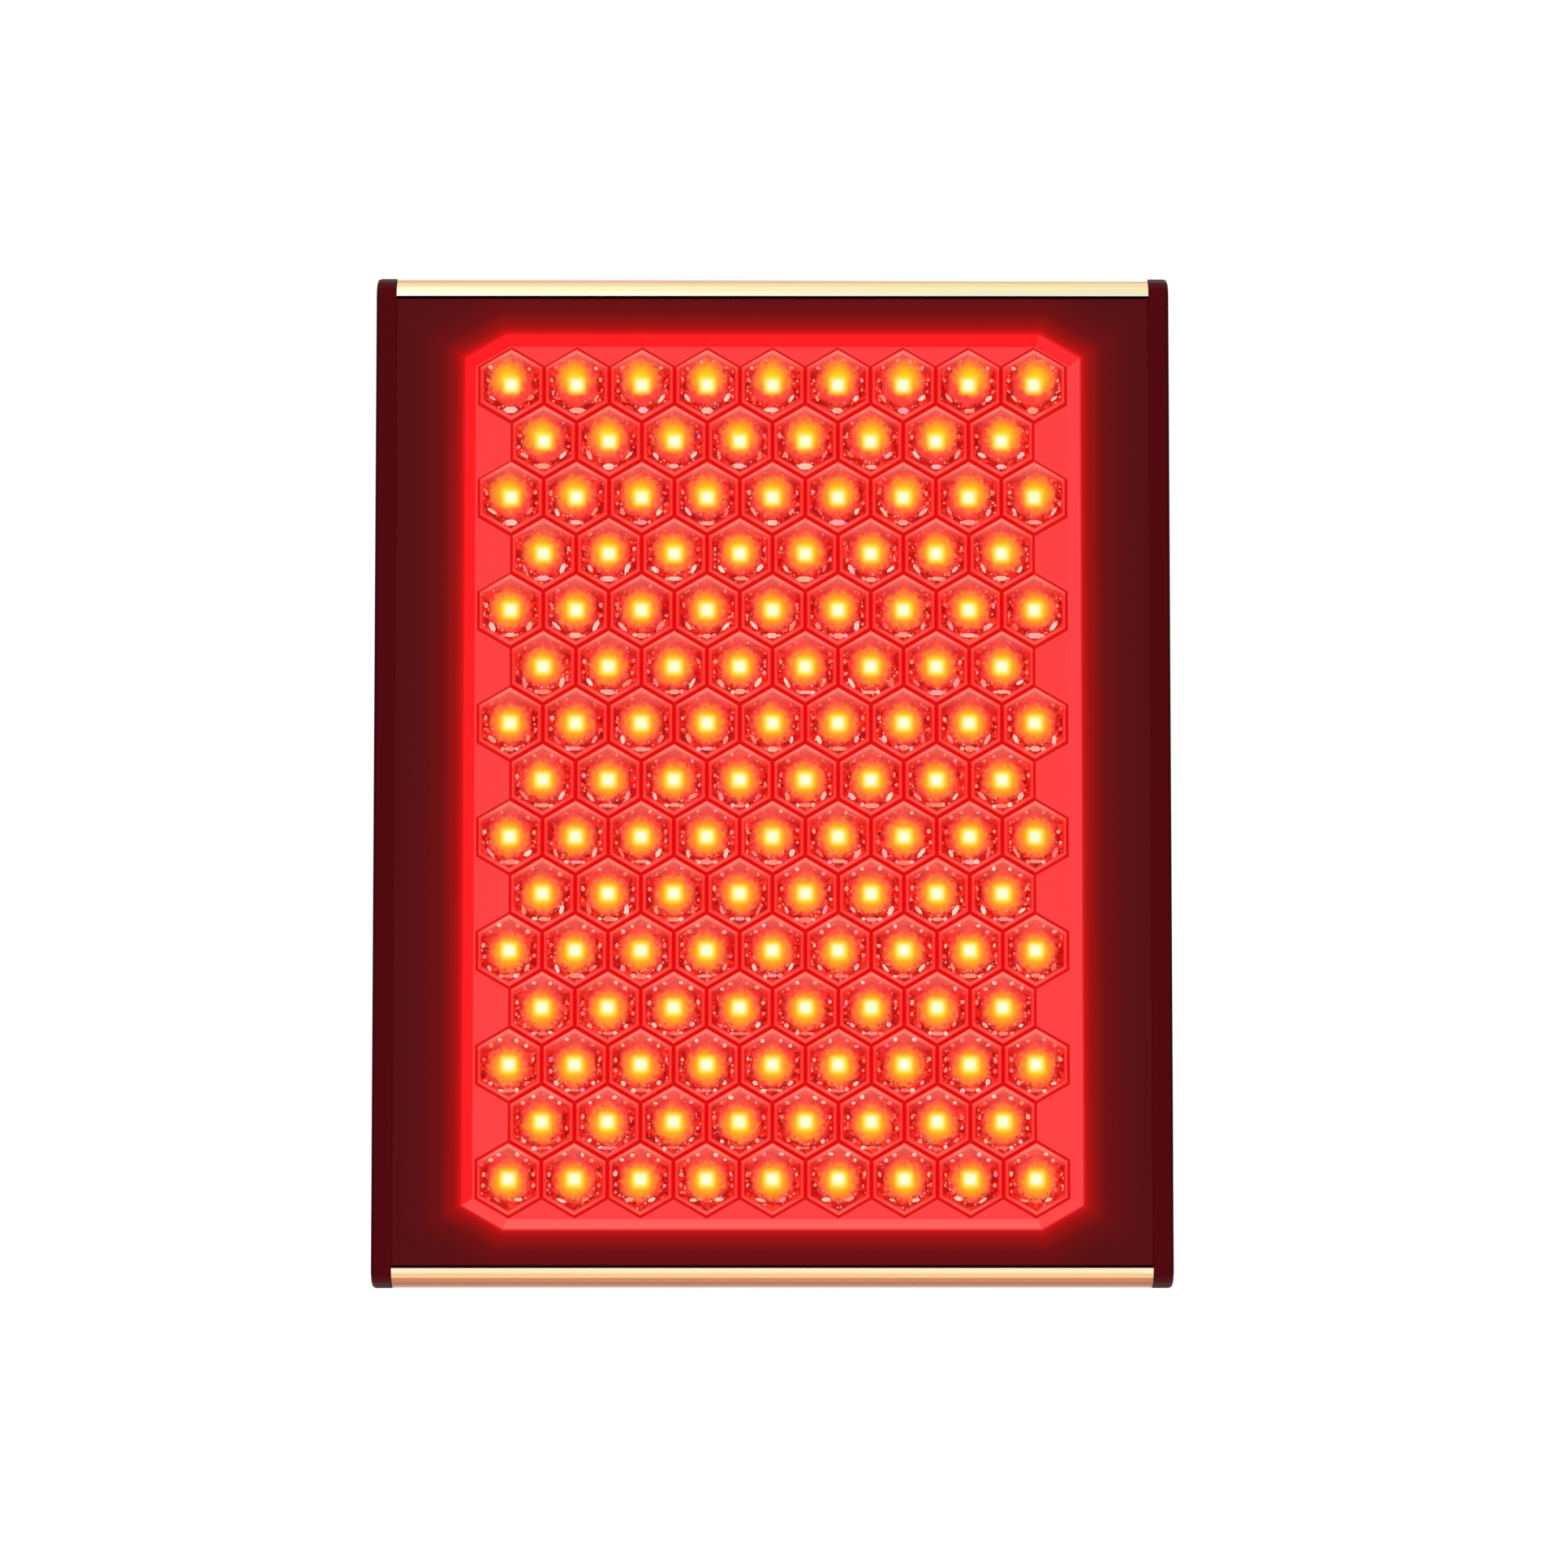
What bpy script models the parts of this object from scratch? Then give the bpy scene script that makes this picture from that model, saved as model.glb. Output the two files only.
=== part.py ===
# Red light therapy panel: extruded housing, honeycomb lens, emitter board, heat sink, fans and switches.
# The front faces -Y, +Z is up, and the origin is at the centre of the footprint.

import math

import bmesh
import bpy
from mathutils import Matrix, Vector
from mathutils.geometry import interpolate_bezier

# Overall size and general fits
PANEL_WIDTH = 0.2420
PANEL_HEIGHT = 0.3080
PANEL_DEPTH = 0.0600
SEAT_GAP = 0.0003
CUT_OVERRUN = 0.0010

# End caps
CAP_THICKNESS = 0.0059
CAP_PROUD = 0.0003
CAP_EDGE_ROUND = 0.0012
CAP_POCKET_DEPTH = 0.0030
CAP_POCKET_SIDE_WALL = 0.0070
CAP_POCKET_END_WALL = 0.0150
CAP_POCKET_ROUND = 0.0040

# Top and bottom rails
RAIL_WALL = 0.0020
RAIL_FRONT_ROUND = 0.0060
RAIL_BACK_ROUND = 0.0040
RAIL_TONGUE = 0.0018
RAIL_FRONT_TONGUE_REACH = 0.0032
RAIL_LEDGE_REACH = 0.0140
RAIL_BACK_TONGUE_REACH = 0.0130
RAIL_PORT_RADIUS = 0.0032
RAIL_PORT_BORE = 0.0016
RAIL_PORT_DROP = 0.0044
FRONT_PORT_BACK_FROM_FRONT = 0.0270
BACK_PORT_FROM_BACK = 0.0160

# Front cover and its eight-sided window
COVER_THICKNESS = 0.0025
COVER_SEAM = 0.0008
COVER_EDGE_CHAMFER = 0.0004
WINDOW_SIDE_MARGIN = 0.0268
WINDOW_END_MARGIN = 0.0175
WINDOW_CUT_X = 0.0128
WINDOW_CUT_SLOPE = math.radians(30.0)
WINDOW_DEPTH = 0.0080
WINDOW_INSET = 0.0033
WINDOW_WALL = 0.0018

# Honeycomb lens
CELL_PITCH = 0.0200
CELL_MARGIN = 0.0010
CELL_GROOVE = 0.0016
CELL_RIM = 0.0011
CELL_HEIGHT = 0.0025
CELL_BOWL_DEPTH = 0.0033
CELL_BOWL_FLOOR = 0.0097
LENS_SIDE_LAP = 0.0158
LENS_END_LAP = 0.0055
LENS_FLOOR_THICKNESS = 0.0018
LENS_RIM_HEIGHT = 0.0019
LENS_RIM_WIDTH = 0.0080

# Emitter board
BOARD_THICKNESS = 0.0016
BOARD_MARGIN = 0.0020
EMITTER_SIZE = 0.0042
EMITTER_HEIGHT = 0.0012

# Heat sink
SINK_SIDE_GAP = 0.0031
SINK_END_GAP = 0.0045
SINK_BASE = 0.0030
FIN_HEIGHT = 0.0150
FIN_THICKNESS = 0.0016
FIN_COUNT = 19
FIN_END_GAP = 0.0012
FIN_EDGE_INSET = 0.0010

# Rear cover
BACK_INSET = 0.0050
BACK_THICKNESS = 0.0020
BACK_LIP = 0.0046
VENT_PITCH = 0.0105
VENT_FROM_EDGE = 0.0248
VENT_WIDTH = 0.0034
VENT_LENGTH = 0.0140
VENT_FROM_TOP = 0.0250
KEYHOLE_FROM_EDGE = 0.0348
KEYHOLE_FROM_TOP = 0.0555
KEYHOLE_HEAD_RADIUS = 0.0062
KEYHOLE_SLOT_WIDTH = 0.0064
KEYHOLE_SLOT_REACH = 0.0095
BACK_SCREW_FROM_EDGE = 0.0148

# Cooling fans
FAN_SIZE = 0.0800
FAN_DEPTH = 0.0150
FAN_GAP = 0.0240
FAN_FROM_TOP = 0.1030
FAN_CORNER_ROUND = 0.0040
FAN_WALL = 0.0020
FAN_HOLE_INSET = 0.00425
FAN_HOLE_RADIUS = 0.0021
FAN_LEAD_SIDE = 0.0260
FAN_HUB_RADIUS = 0.0165
FAN_PLATE = 0.0022
FAN_STRUT_COUNT = 4
FAN_STRUT_WIDTH = 0.0036
FAN_SHAFT_RADIUS = 0.0016
FAN_BEARING_RADIUS = 0.0020
FAN_BEARING_OUTER = 0.0045
FAN_BEARING_HEIGHT = 0.0050
FAN_BLADE_COUNT = 7
FAN_BLADE_THICKNESS = 0.0012
FAN_TIP_GAP = 0.0012
FAN_AXIAL_GAP = 0.0010
FAN_CUP_WALL = 0.0015
FAN_SHAFT_SEAT = 0.0008
BLADE_ROOT_PITCH = math.radians(38.0)
BLADE_TIP_PITCH = math.radians(62.0)
BLADE_SWEEP = math.radians(18.0)
MIDDLE_SWEEP_SHARE = 1 / 3
GRILLE_INSET = 0.0025
GRILLE_ROW_LENGTH = 0.0210
GRILLE_BAR = 0.0034
GRILLE_PITCH = 0.0092
GRILLE_SLOT_WIDTH = 0.0036
GRILLE_SHORTEST = 0.0050

# Constant-current drivers
DRIVER_WIDTH = 0.0840
DRIVER_HEIGHT = 0.0560
DRIVER_DEPTH = 0.0170
DRIVER_WIRE_ROOM = 0.0063
DRIVER_FOOT = 0.0080
DRIVER_FOOT_THICKNESS = 0.0020
DRIVER_FOOT_HOLE = 0.0020
DRIVER_EDGE_ROUND = 0.0015

# Power inlet
SERVICE_HEIGHT_UP = 0.0340
INLET_WIDTH = 0.0270
INLET_HEIGHT = 0.0198
INLET_DEPTH = 0.0185
INLET_FLANGE_WIDTH = 0.0308
INLET_FLANGE_HEIGHT = 0.0236
INLET_FLANGE = 0.0022
INLET_FLANGE_ROUND = 0.0025
INLET_CAVITY_WIDTH = 0.0240
INLET_CAVITY_HEIGHT = 0.0166
INLET_CAVITY_DEPTH = 0.0160
INLET_CAVITY_CORNER = 0.0040
PIN_WIDTH = 0.0020
PIN_HEIGHT = 0.0040
PIN_SPACING = 0.0140
PIN_EARTH_RISE = 0.0040
PIN_TIP_SINK = 0.0045
PIN_TAB_REACH = 0.0030
PIN_TIP_CHAMFER = 0.0006

# Rocker switches
SWITCH_SPACING = 0.0900
SWITCH_WIDTH = 0.0126
SWITCH_HEIGHT = 0.0186
SWITCH_DEPTH = 0.0150
SWITCH_BEZEL = 0.0020
SWITCH_BEZEL_LIP = 0.0014
SWITCH_BEZEL_ROUND = 0.0008
WELL_WIDTH = 0.0098
WELL_HEIGHT = 0.0164
WELL_DEPTH = 0.0110
ROCKER_HALF_LENGTH = 0.0070
ROCKER_END_RISE = 0.0046
ROCKER_MIDDLE_RISE = 0.0034
ROCKER_SKIRT = 0.0012
ROCKER_KEEL = 0.0040
ROCKER_KEEL_HALF = 0.0024
ROCKER_PIVOT_DEPTH = 0.0032
ROCKER_PIN_RADIUS = 0.0009
ROCKER_PIN_BORE = 0.0013
ROCKER_PIN_REACH = 0.0009
ROCKER_TILT = math.radians(9.0)

# Screws
SCREW_SHANK_RADIUS = 0.0012
SCREW_SHANK_LENGTH = 0.0080
SCREW_HEAD_RADIUS = 0.0028
SCREW_HEAD_HEIGHT = 0.0018
SCREW_SOCKET_RADIUS = 0.0013
SCREW_SOCKET_DEPTH = 0.0011
SCREW_HOLE_RADIUS = 0.0016
SCREW_COUNTERBORE_RADIUS = 0.0033
BACK_SHANK_LENGTH = 0.0050

# Leads inside the housing, with the hand-laid middle points of their routes
LEAD_RADIUS = 0.0011
LEAD_STRAIGHT = 0.0050
LEAD_STEP = 0.0080
LEAD_ROUNDING = 1
SWITCH_TERMINAL_RISE = 0.0040
SWITCH_TERMINAL_SIDE = 0.0030
DRIVER_LEAD_SPACING = 0.0110
BOARD_LEAD_RADIUS = 0.0016
BOARD_LEAD_HOLE = 0.0022
BOARD_LEAD_RISE = 0.0160
EARTH_RISE = 0.0280
LIVE_ROUTE = ((-0.0130, 0.0072, 0.0462), (-0.0270, 0.0065, 0.0450), (-0.0375, 0.0062, 0.0360))
LIVE_LINK_ROUTE = ((-0.0410, 0.0070, 0.0205), (-0.0190, 0.0070, 0.0172), (0.0190, 0.0070, 0.0172),
                   (0.0410, 0.0070, 0.0205))
NEUTRAL_ROUTE = ((0.0120, 0.0080, 0.0500), (0.0270, 0.0110, 0.0610))
NEUTRAL_LINK_ROUTE = ((0.0150, 0.0130, 0.0640), (-0.0150, 0.0130, 0.0640))
SWITCHED_ROUTE = ((0.0500, 0.0075, 0.0480), (0.0600, 0.0110, 0.0620))
EARTH_ROUTE = ((0.0030, 0.0062, 0.0530), (0.0062, 0.0018, 0.0600))

# Facets of round shapes
ROUND_FACETS = 12
HOLE_FACETS = 8
BORE_FACETS = 32
HUB_FACETS = 20
ARC_STEPS = 4
ROUND_STEPS = 2
FLAT_ANGLE = math.radians(0.5)
SHARP_ANGLE = math.radians(35.0)

# Places worked out from the sizes above
SAME_PLACE = SEAT_GAP / 10
FRONT_Y = -PANEL_DEPTH / 2
BACK_Y = PANEL_DEPTH / 2
CENTRE_Z = PANEL_HEIGHT / 2
INNER_HALF_WIDTH = PANEL_WIDTH / 2 - CAP_THICKNESS
COVER_HALF_WIDTH = INNER_HALF_WIDTH - SEAT_GAP
WINDOW_WIDTH = PANEL_WIDTH - 2 * WINDOW_SIDE_MARGIN
WINDOW_HEIGHT = PANEL_HEIGHT - 2 * WINDOW_END_MARGIN
LENS_WIDTH = WINDOW_WIDTH + 2 * LENS_SIDE_LAP
LENS_HEIGHT = WINDOW_HEIGHT + 2 * LENS_END_LAP
RAIL_FRONT_Y = FRONT_Y + CAP_PROUD
RAIL_BACK_Y = BACK_Y - CAP_PROUD
COVER_BACK_Y = RAIL_FRONT_Y + COVER_THICKNESS
LENS_FRONT_Y = RAIL_FRONT_Y + WINDOW_DEPTH
LENS_BACK_Y = LENS_FRONT_Y + LENS_FLOOR_THICKNESS + LENS_RIM_HEIGHT
BOARD_FRONT_Y = LENS_BACK_Y + SEAT_GAP
BOARD_BACK_Y = BOARD_FRONT_Y + BOARD_THICKNESS
SINK_FRONT_Y = BOARD_BACK_Y + SEAT_GAP
SINK_BACK_Y = SINK_FRONT_Y + SINK_BASE
FIN_TIP_Y = SINK_BACK_Y + FIN_HEIGHT
PLATE_BACK_Y = BACK_Y - BACK_INSET
PLATE_FRONT_Y = PLATE_BACK_Y - BACK_THICKNESS
INSIDE_BACK_Y = PLATE_FRONT_Y - SEAT_GAP
OUTSIDE_BACK_Y = PLATE_BACK_Y + SEAT_GAP
FRONT_PORT_Y = FRONT_Y + FRONT_PORT_BACK_FROM_FRONT
BACK_PORT_Y = BACK_Y - BACK_PORT_FROM_BACK
RAIL_TONGUE_BACK_Y = COVER_BACK_Y + SEAT_GAP + RAIL_TONGUE
FAN_BORE_RADIUS = FAN_SIZE / 2 - FAN_WALL
FAN_SPACING = FAN_SIZE + FAN_GAP
FAN_HEIGHT_UP = PANEL_HEIGHT - FAN_FROM_TOP
SERVICE_TOP = SERVICE_HEIGHT_UP + SWITCH_HEIGHT / 2 + SWITCH_BEZEL_LIP
DRIVER_HEIGHT_UP = (SERVICE_TOP + DRIVER_WIRE_ROOM + FAN_HEIGHT_UP - FAN_SIZE / 2) / 2
SINK_HALF_WIDTH = INNER_HALF_WIDTH - SINK_SIDE_GAP
FIN_PITCH = (2 * SINK_HALF_WIDTH - FIN_THICKNESS) / (FIN_COUNT - 1)

# Local directions of a flat outline: its x, its y and the way it is extruded
FACING_X = Matrix(((0, 0, 1), (1, 0, 0), (0, 1, 0))).to_4x4()
FACING_Y = Matrix(((1, 0, 0), (0, 0, -1), (0, 1, 0))).to_4x4()


# Collections and materials

def start_scene():
    for old in list(bpy.data.objects):
        bpy.data.objects.remove(old, do_unlink=True)
    for title in ("red_light_therapy_panel", "cutters"):
        group = bpy.data.collections.new(title)
        bpy.context.scene.collection.children.link(group)


def material(name, colour, roughness, metallic):
    found = bpy.data.materials.get(name)
    if found:
        return found
    made = bpy.data.materials.new(name)
    made.use_nodes = True
    shader = made.node_tree.nodes["Principled BSDF"]
    shader.inputs["Base Color"].default_value = (*colour, 1.0)
    shader.inputs["Roughness"].default_value = roughness
    shader.inputs["Metallic"].default_value = metallic
    made.diffuse_color = (*colour, 1.0)
    return made


def champagne_gold():
    return material("champagne_gold_aluminium", (0.83, 0.62, 0.40), 0.32, 0.9)


def black_cap_plastic():
    return material("black_cap_plastic", (0.030, 0.012, 0.014), 0.45, 0.0)


def black_cover_enamel():
    return material("black_cover_enamel", (0.040, 0.010, 0.012), 0.38, 0.0)


def lens_plastic():
    return material("red_lit_lens_plastic", (0.90, 0.07, 0.08), 0.18, 0.0)


def board_enamel():
    return material("white_board_enamel", (0.85, 0.80, 0.74), 0.50, 0.0)


def bare_aluminium():
    return material("bare_aluminium", (0.70, 0.71, 0.72), 0.40, 0.9)


def black_back_enamel():
    return material("black_back_enamel", (0.025, 0.025, 0.027), 0.50, 0.0)


def fan_plastic():
    return material("black_fan_plastic", (0.020, 0.020, 0.022), 0.55, 0.0)


def inlet_plastic():
    return material("black_inlet_plastic", (0.016, 0.016, 0.018), 0.42, 0.0)


def plated_brass():
    return material("plated_brass", (0.78, 0.74, 0.62), 0.25, 1.0)


def rocker_plastic():
    return material("red_rocker_plastic", (0.55, 0.02, 0.02), 0.25, 0.0)


def screw_steel():
    return material("blackened_screw_steel", (0.09, 0.09, 0.10), 0.35, 0.9)


def brown_sleeve():
    return material("brown_lead_sleeve", (0.16, 0.06, 0.03), 0.45, 0.0)


def blue_sleeve():
    return material("blue_lead_sleeve", (0.04, 0.12, 0.42), 0.45, 0.0)


def green_sleeve():
    return material("green_lead_sleeve", (0.10, 0.36, 0.08), 0.45, 0.0)


def black_sleeve():
    return material("black_lead_sleeve", (0.03, 0.03, 0.03), 0.45, 0.0)


# Making objects

def put_in(obj, title):
    for group in list(obj.users_collection):
        group.objects.unlink(obj)
    bpy.data.collections[title].objects.link(obj)


def object_from_bmesh(name, shape):
    bmesh.ops.recalc_face_normals(shape, faces=shape.faces)
    mesh = bpy.data.meshes.new(name)
    shape.to_mesh(mesh)
    shape.free()
    obj = bpy.data.objects.new(name, mesh)
    bpy.data.collections["cutters"].objects.link(obj)
    return obj


def finished(obj, name, paint, smooth=False):
    obj.name = name
    obj.data.name = name
    obj.data.materials.clear()
    obj.data.materials.append(paint)
    put_in(obj, "red_light_therapy_panel")
    if smooth:
        obj.data.shade_smooth()
        obj.data.set_sharp_from_angle(angle=SHARP_ANGLE)
    return obj


def as_cutter(obj):
    obj.hide_render = True
    obj.display_type = "WIRE"
    return obj


def boolean(obj, other, operation):
    step = obj.modifiers.new(operation.lower(), "BOOLEAN")
    step.operation = operation
    step.solver = "EXACT"
    step.object = as_cutter(other)
    return obj


def cut(obj, other):
    return boolean(obj, other, "DIFFERENCE")


def join(obj, other):
    return boolean(obj, other, "UNION")


# Basic solids

def block(name, low, high):
    return blocks(name, [(low, high)])


def blocks(name, boxes):
    shape = bmesh.new()
    for low, high in boxes:
        low, high = Vector(low), Vector(high)
        size = high - low
        place = Matrix.Translation((low + high) / 2) @ Matrix.Diagonal((size.x, size.y, size.z, 1.0))
        bmesh.ops.create_cube(shape, size=1.0, matrix=place)
    return object_from_bmesh(name, shape)


def add_rod(shape, centre, facing, length, radius, facets, end_radius=None):
    far_radius = radius if end_radius is None else end_radius
    place = Matrix.Translation(centre) @ facing
    bmesh.ops.create_cone(shape, cap_ends=True, cap_tris=False, segments=facets,
                          radius1=radius, radius2=far_radius, depth=length, matrix=place)


def rods(name, centres, facing, length, radius, facets, end_radius=None):
    shape = bmesh.new()
    for centre in centres:
        add_rod(shape, centre, facing, length, radius, facets, end_radius)
    return object_from_bmesh(name, shape)


def extruded(name, outlines, facing, thickness, centre):
    """Flat outline, with any holes as further outlines, extruded both ways from its centre."""
    curve = bpy.data.curves.new(name, "CURVE")
    curve.dimensions = "2D"
    curve.fill_mode = "BOTH"
    curve.extrude = thickness / 2
    for outline in outlines:
        spline = curve.splines.new("POLY")
        spline.points.add(len(outline) - 1)
        for point, (across, up) in zip(spline.points, outline):
            point.co = (across, up, 0.0, 1.0)
        spline.use_cyclic_u = True
    shape = shape_of_curve(name, curve, Matrix.Translation(centre) @ facing)
    bmesh.ops.dissolve_limit(shape, angle_limit=FLAT_ANGLE, verts=[], edges=shape.edges)
    return object_from_bmesh(name, shape)


def shape_of_curve(name, curve, place):
    """Welded faces of a filled or bevelled curve that stands at a place."""
    guide = bpy.data.objects.new(name, curve)
    bpy.context.scene.collection.objects.link(guide)
    guide.matrix_world = place
    bpy.context.view_layer.update()
    seen = guide.evaluated_get(bpy.context.evaluated_depsgraph_get())
    shape = bmesh.new()
    shape.from_mesh(bpy.data.meshes.new_from_object(seen))
    shape.transform(guide.matrix_world)
    bmesh.ops.remove_doubles(shape, verts=shape.verts, dist=SAME_PLACE)
    bpy.data.objects.remove(guide, do_unlink=True)
    return shape


def loft(shape, sections):
    """Closed body through rings of points that match one to one."""
    rings = [[shape.verts.new(point) for point in section] for section in sections]
    count = len(rings[0])
    for near, far in zip(rings, rings[1:]):
        for index in range(count):
            after = (index + 1) % count
            shape.faces.new((near[index], near[after], far[after], far[index]))
    shape.faces.new(list(reversed(rings[0])))
    shape.faces.new(rings[-1])


# Outlines

def arc(centre, radius, start, end, steps):
    across, up = centre
    points = []
    for step in range(steps + 1):
        angle = start + (end - start) * step / steps
        points.append((across + radius * math.cos(angle), up + radius * math.sin(angle)))
    return points


def circle(centre, radius, facets):
    return arc(centre, radius, 0.0, 2 * math.pi, facets)[:-1]


def rounded_rectangle(width, height, radius, steps, centre=(0.0, 0.0)):
    across, up = width / 2 - radius, height / 2 - radius
    points = []
    for quarter, (side, rise) in enumerate(((1, 1), (-1, 1), (-1, -1), (1, -1))):
        corner = (centre[0] + side * across, centre[1] + rise * up)
        start = quarter * math.pi / 2
        points += arc(corner, radius, start, start + math.pi / 2, steps)
    return points


def window_outline(inset):
    """Rectangle with its four corners cut off along the slope of the cells, drawn in by an inset."""
    half_width = WINDOW_WIDTH / 2 - inset
    half_height = WINDOW_HEIGHT / 2 - inset
    upper_turn = math.tan(WINDOW_CUT_SLOPE / 2)
    side_turn = math.tan((math.pi / 2 - WINDOW_CUT_SLOPE) / 2)
    cut_x = WINDOW_CUT_X - inset * (1 - upper_turn)
    cut_z = WINDOW_CUT_X * math.tan(WINDOW_CUT_SLOPE) - inset * (1 - side_turn)
    corner = [(half_width, half_height - cut_z), (half_width - cut_x, half_height)]
    left = [(-across, up) for across, up in reversed(corner)]
    upper = corner + left
    return upper + [(-across, -up) for across, up in upper]


def window_ring(inset, y):
    return [(across, y, CENTRE_Z + up) for across, up in window_outline(inset)]


# Honeycomb places

def cells_that_fit(opening, pitch, cell):
    """How many cells stand in a line across an opening, with a margin at both ends."""
    return int((opening - 2 * CELL_MARGIN - cell) / pitch) + 1


def cell_centres():
    places = []
    row_pitch = CELL_PITCH * math.sqrt(3.0) / 2
    across_flats = CELL_PITCH - CELL_GROOVE
    rows = cells_that_fit(WINDOW_HEIGHT - 2 * WINDOW_INSET, row_pitch, 2 * hexagon_radius(across_flats))
    long_row = cells_that_fit(WINDOW_WIDTH - 2 * WINDOW_INSET, CELL_PITCH, across_flats)
    for row in range(rows):
        count = long_row - row % 2
        height = CENTRE_Z + (row - (rows - 1) / 2) * row_pitch
        for column in range(count):
            places.append(((column - (count - 1) / 2) * CELL_PITCH, height))
    return places


def hexagon_radius(across_flats):
    return across_flats / math.sqrt(3.0)


# Housing

def rail_profile():
    """Section of the bottom rail as depth and height: front lip, outer wall, back lip and both tongues."""
    front = RAIL_FRONT_Y
    back = RAIL_BACK_Y
    base = CAP_PROUD
    lip_top = base + RAIL_FRONT_ROUND
    inside = base + RAIL_WALL
    points = arc((front + RAIL_FRONT_ROUND, lip_top), RAIL_FRONT_ROUND,
                 math.pi, 1.5 * math.pi, ARC_STEPS + 2)
    points += arc((back - RAIL_BACK_ROUND, base + RAIL_BACK_ROUND), RAIL_BACK_ROUND,
                  1.5 * math.pi, 2 * math.pi, ARC_STEPS)
    seat = PLATE_FRONT_Y - SEAT_GAP
    points += [(back, base + BACK_LIP), (seat, base + BACK_LIP)]
    points += [(seat, base + RAIL_BACK_TONGUE_REACH), (seat - RAIL_TONGUE, base + RAIL_BACK_TONGUE_REACH)]
    points += [(seat - RAIL_TONGUE, inside), (front + RAIL_FRONT_ROUND + RAIL_WALL, inside)]
    tongue_top = lip_top + RAIL_FRONT_TONGUE_REACH
    points += [(RAIL_TONGUE_BACK_Y, base + 2 * RAIL_WALL), (RAIL_TONGUE_BACK_Y, tongue_top)]
    points += [(RAIL_TONGUE_BACK_Y - RAIL_TONGUE, tongue_top), (RAIL_TONGUE_BACK_Y - RAIL_TONGUE, lip_top)]
    return points


def port_places():
    rise = CAP_PROUD + RAIL_PORT_DROP
    return [(depth, rise) for depth in (FRONT_PORT_Y, BACK_PORT_Y)]


def rail(name, at_top):
    """One extrusion: the section, a ledge for the heat sink and two tubes that take the cap screws."""
    def level(rise):
        return PANEL_HEIGHT - rise if at_top else rise

    outline = [(depth, level(rise)) for depth, rise in rail_profile()]
    length = 2 * INNER_HALF_WIDTH - 2 * SEAT_GAP
    obj = extruded(name, [outline], FACING_X, length, (0.0, 0.0, 0.0))
    ledge_y = SINK_BACK_Y + SEAT_GAP
    low, high = sorted((level(CAP_PROUD + RAIL_WALL / 2), level(CAP_PROUD + RAIL_LEDGE_REACH)))
    join(obj, block(name + "_ledge", (-length / 2, ledge_y, low),
                    (length / 2, ledge_y + RAIL_TONGUE, high)))
    ports = [(0.0, depth, level(rise)) for depth, rise in port_places()]
    join(obj, rods(name + "_ports", ports, FACING_X, length, RAIL_PORT_RADIUS, ROUND_FACETS))
    bore_length = length + 2 * CUT_OVERRUN
    cut(obj, rods(name + "_port_bores", ports, FACING_X, bore_length, RAIL_PORT_BORE, HOLE_FACETS))
    places = [(across, PLATE_FRONT_Y, back_screw_height(at_top)) for across in back_screw_columns()]
    cut(obj, rods(name + "_screw_holes", places, FACING_Y, 2 * RAIL_TONGUE + 2 * CUT_OVERRUN,
                  SCREW_HOLE_RADIUS, HOLE_FACETS))
    return finished(obj, name, champagne_gold(), smooth=True)


def cap_outline():
    """Side view of the housing: round at the front corners, tighter at the back ones."""
    points = []
    corners = (
        (BACK_Y, PANEL_HEIGHT, -1, -1, RAIL_BACK_ROUND, 0.0),
        (FRONT_Y, PANEL_HEIGHT, 1, -1, RAIL_FRONT_ROUND, math.pi / 2),
        (FRONT_Y, 0.0, 1, 1, RAIL_FRONT_ROUND, math.pi),
        (BACK_Y, 0.0, -1, 1, RAIL_BACK_ROUND, 1.5 * math.pi),
    )
    for depth, height, way, rise, rounding, start in corners:
        radius = rounding + CAP_PROUD
        centre = (depth + way * radius, height + rise * radius)
        points += arc(centre, radius, start, start + math.pi / 2, ARC_STEPS)
    return points


def cap_screw_places():
    places = []
    for depth, rise in port_places():
        places += [(depth, rise), (depth, PANEL_HEIGHT - rise)]
    return places


def end_cap(name, side):
    thickness = CAP_THICKNESS
    centre_x = side * (PANEL_WIDTH / 2 - thickness / 2)
    obj = extruded(name, [cap_outline()], FACING_X, thickness, (centre_x, 0.0, 0.0))
    soften_outer_edge(obj, side)
    pocket = rounded_rectangle(PANEL_DEPTH - 2 * CAP_POCKET_SIDE_WALL,
                               PANEL_HEIGHT - 2 * CAP_POCKET_END_WALL,
                               CAP_POCKET_ROUND, ROUND_STEPS, (0.0, CENTRE_Z))
    pocket_depth = CAP_POCKET_DEPTH + CUT_OVERRUN
    pocket_x = side * (INNER_HALF_WIDTH - CUT_OVERRUN + pocket_depth / 2)
    cut(obj, extruded(name + "_pocket", [pocket], FACING_X, pocket_depth, (pocket_x, 0.0, 0.0)))
    hole_length = thickness + 2 * CUT_OVERRUN
    places = [(centre_x, depth, height) for depth, height in cap_screw_places()]
    cut(obj, rods(name + "_screw_holes", places, FACING_X, hole_length, SCREW_HOLE_RADIUS, HOLE_FACETS))
    sink_depth = SCREW_HEAD_HEIGHT + SEAT_GAP + CUT_OVERRUN
    sink_x = side * (PANEL_WIDTH / 2 + CUT_OVERRUN - sink_depth / 2)
    places = [(sink_x, depth, height) for depth, height in cap_screw_places()]
    cut(obj, rods(name + "_counterbores", places, FACING_X, sink_depth,
                  SCREW_COUNTERBORE_RADIUS, ROUND_FACETS))
    return finished(obj, name, black_cap_plastic(), smooth=True)


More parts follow.
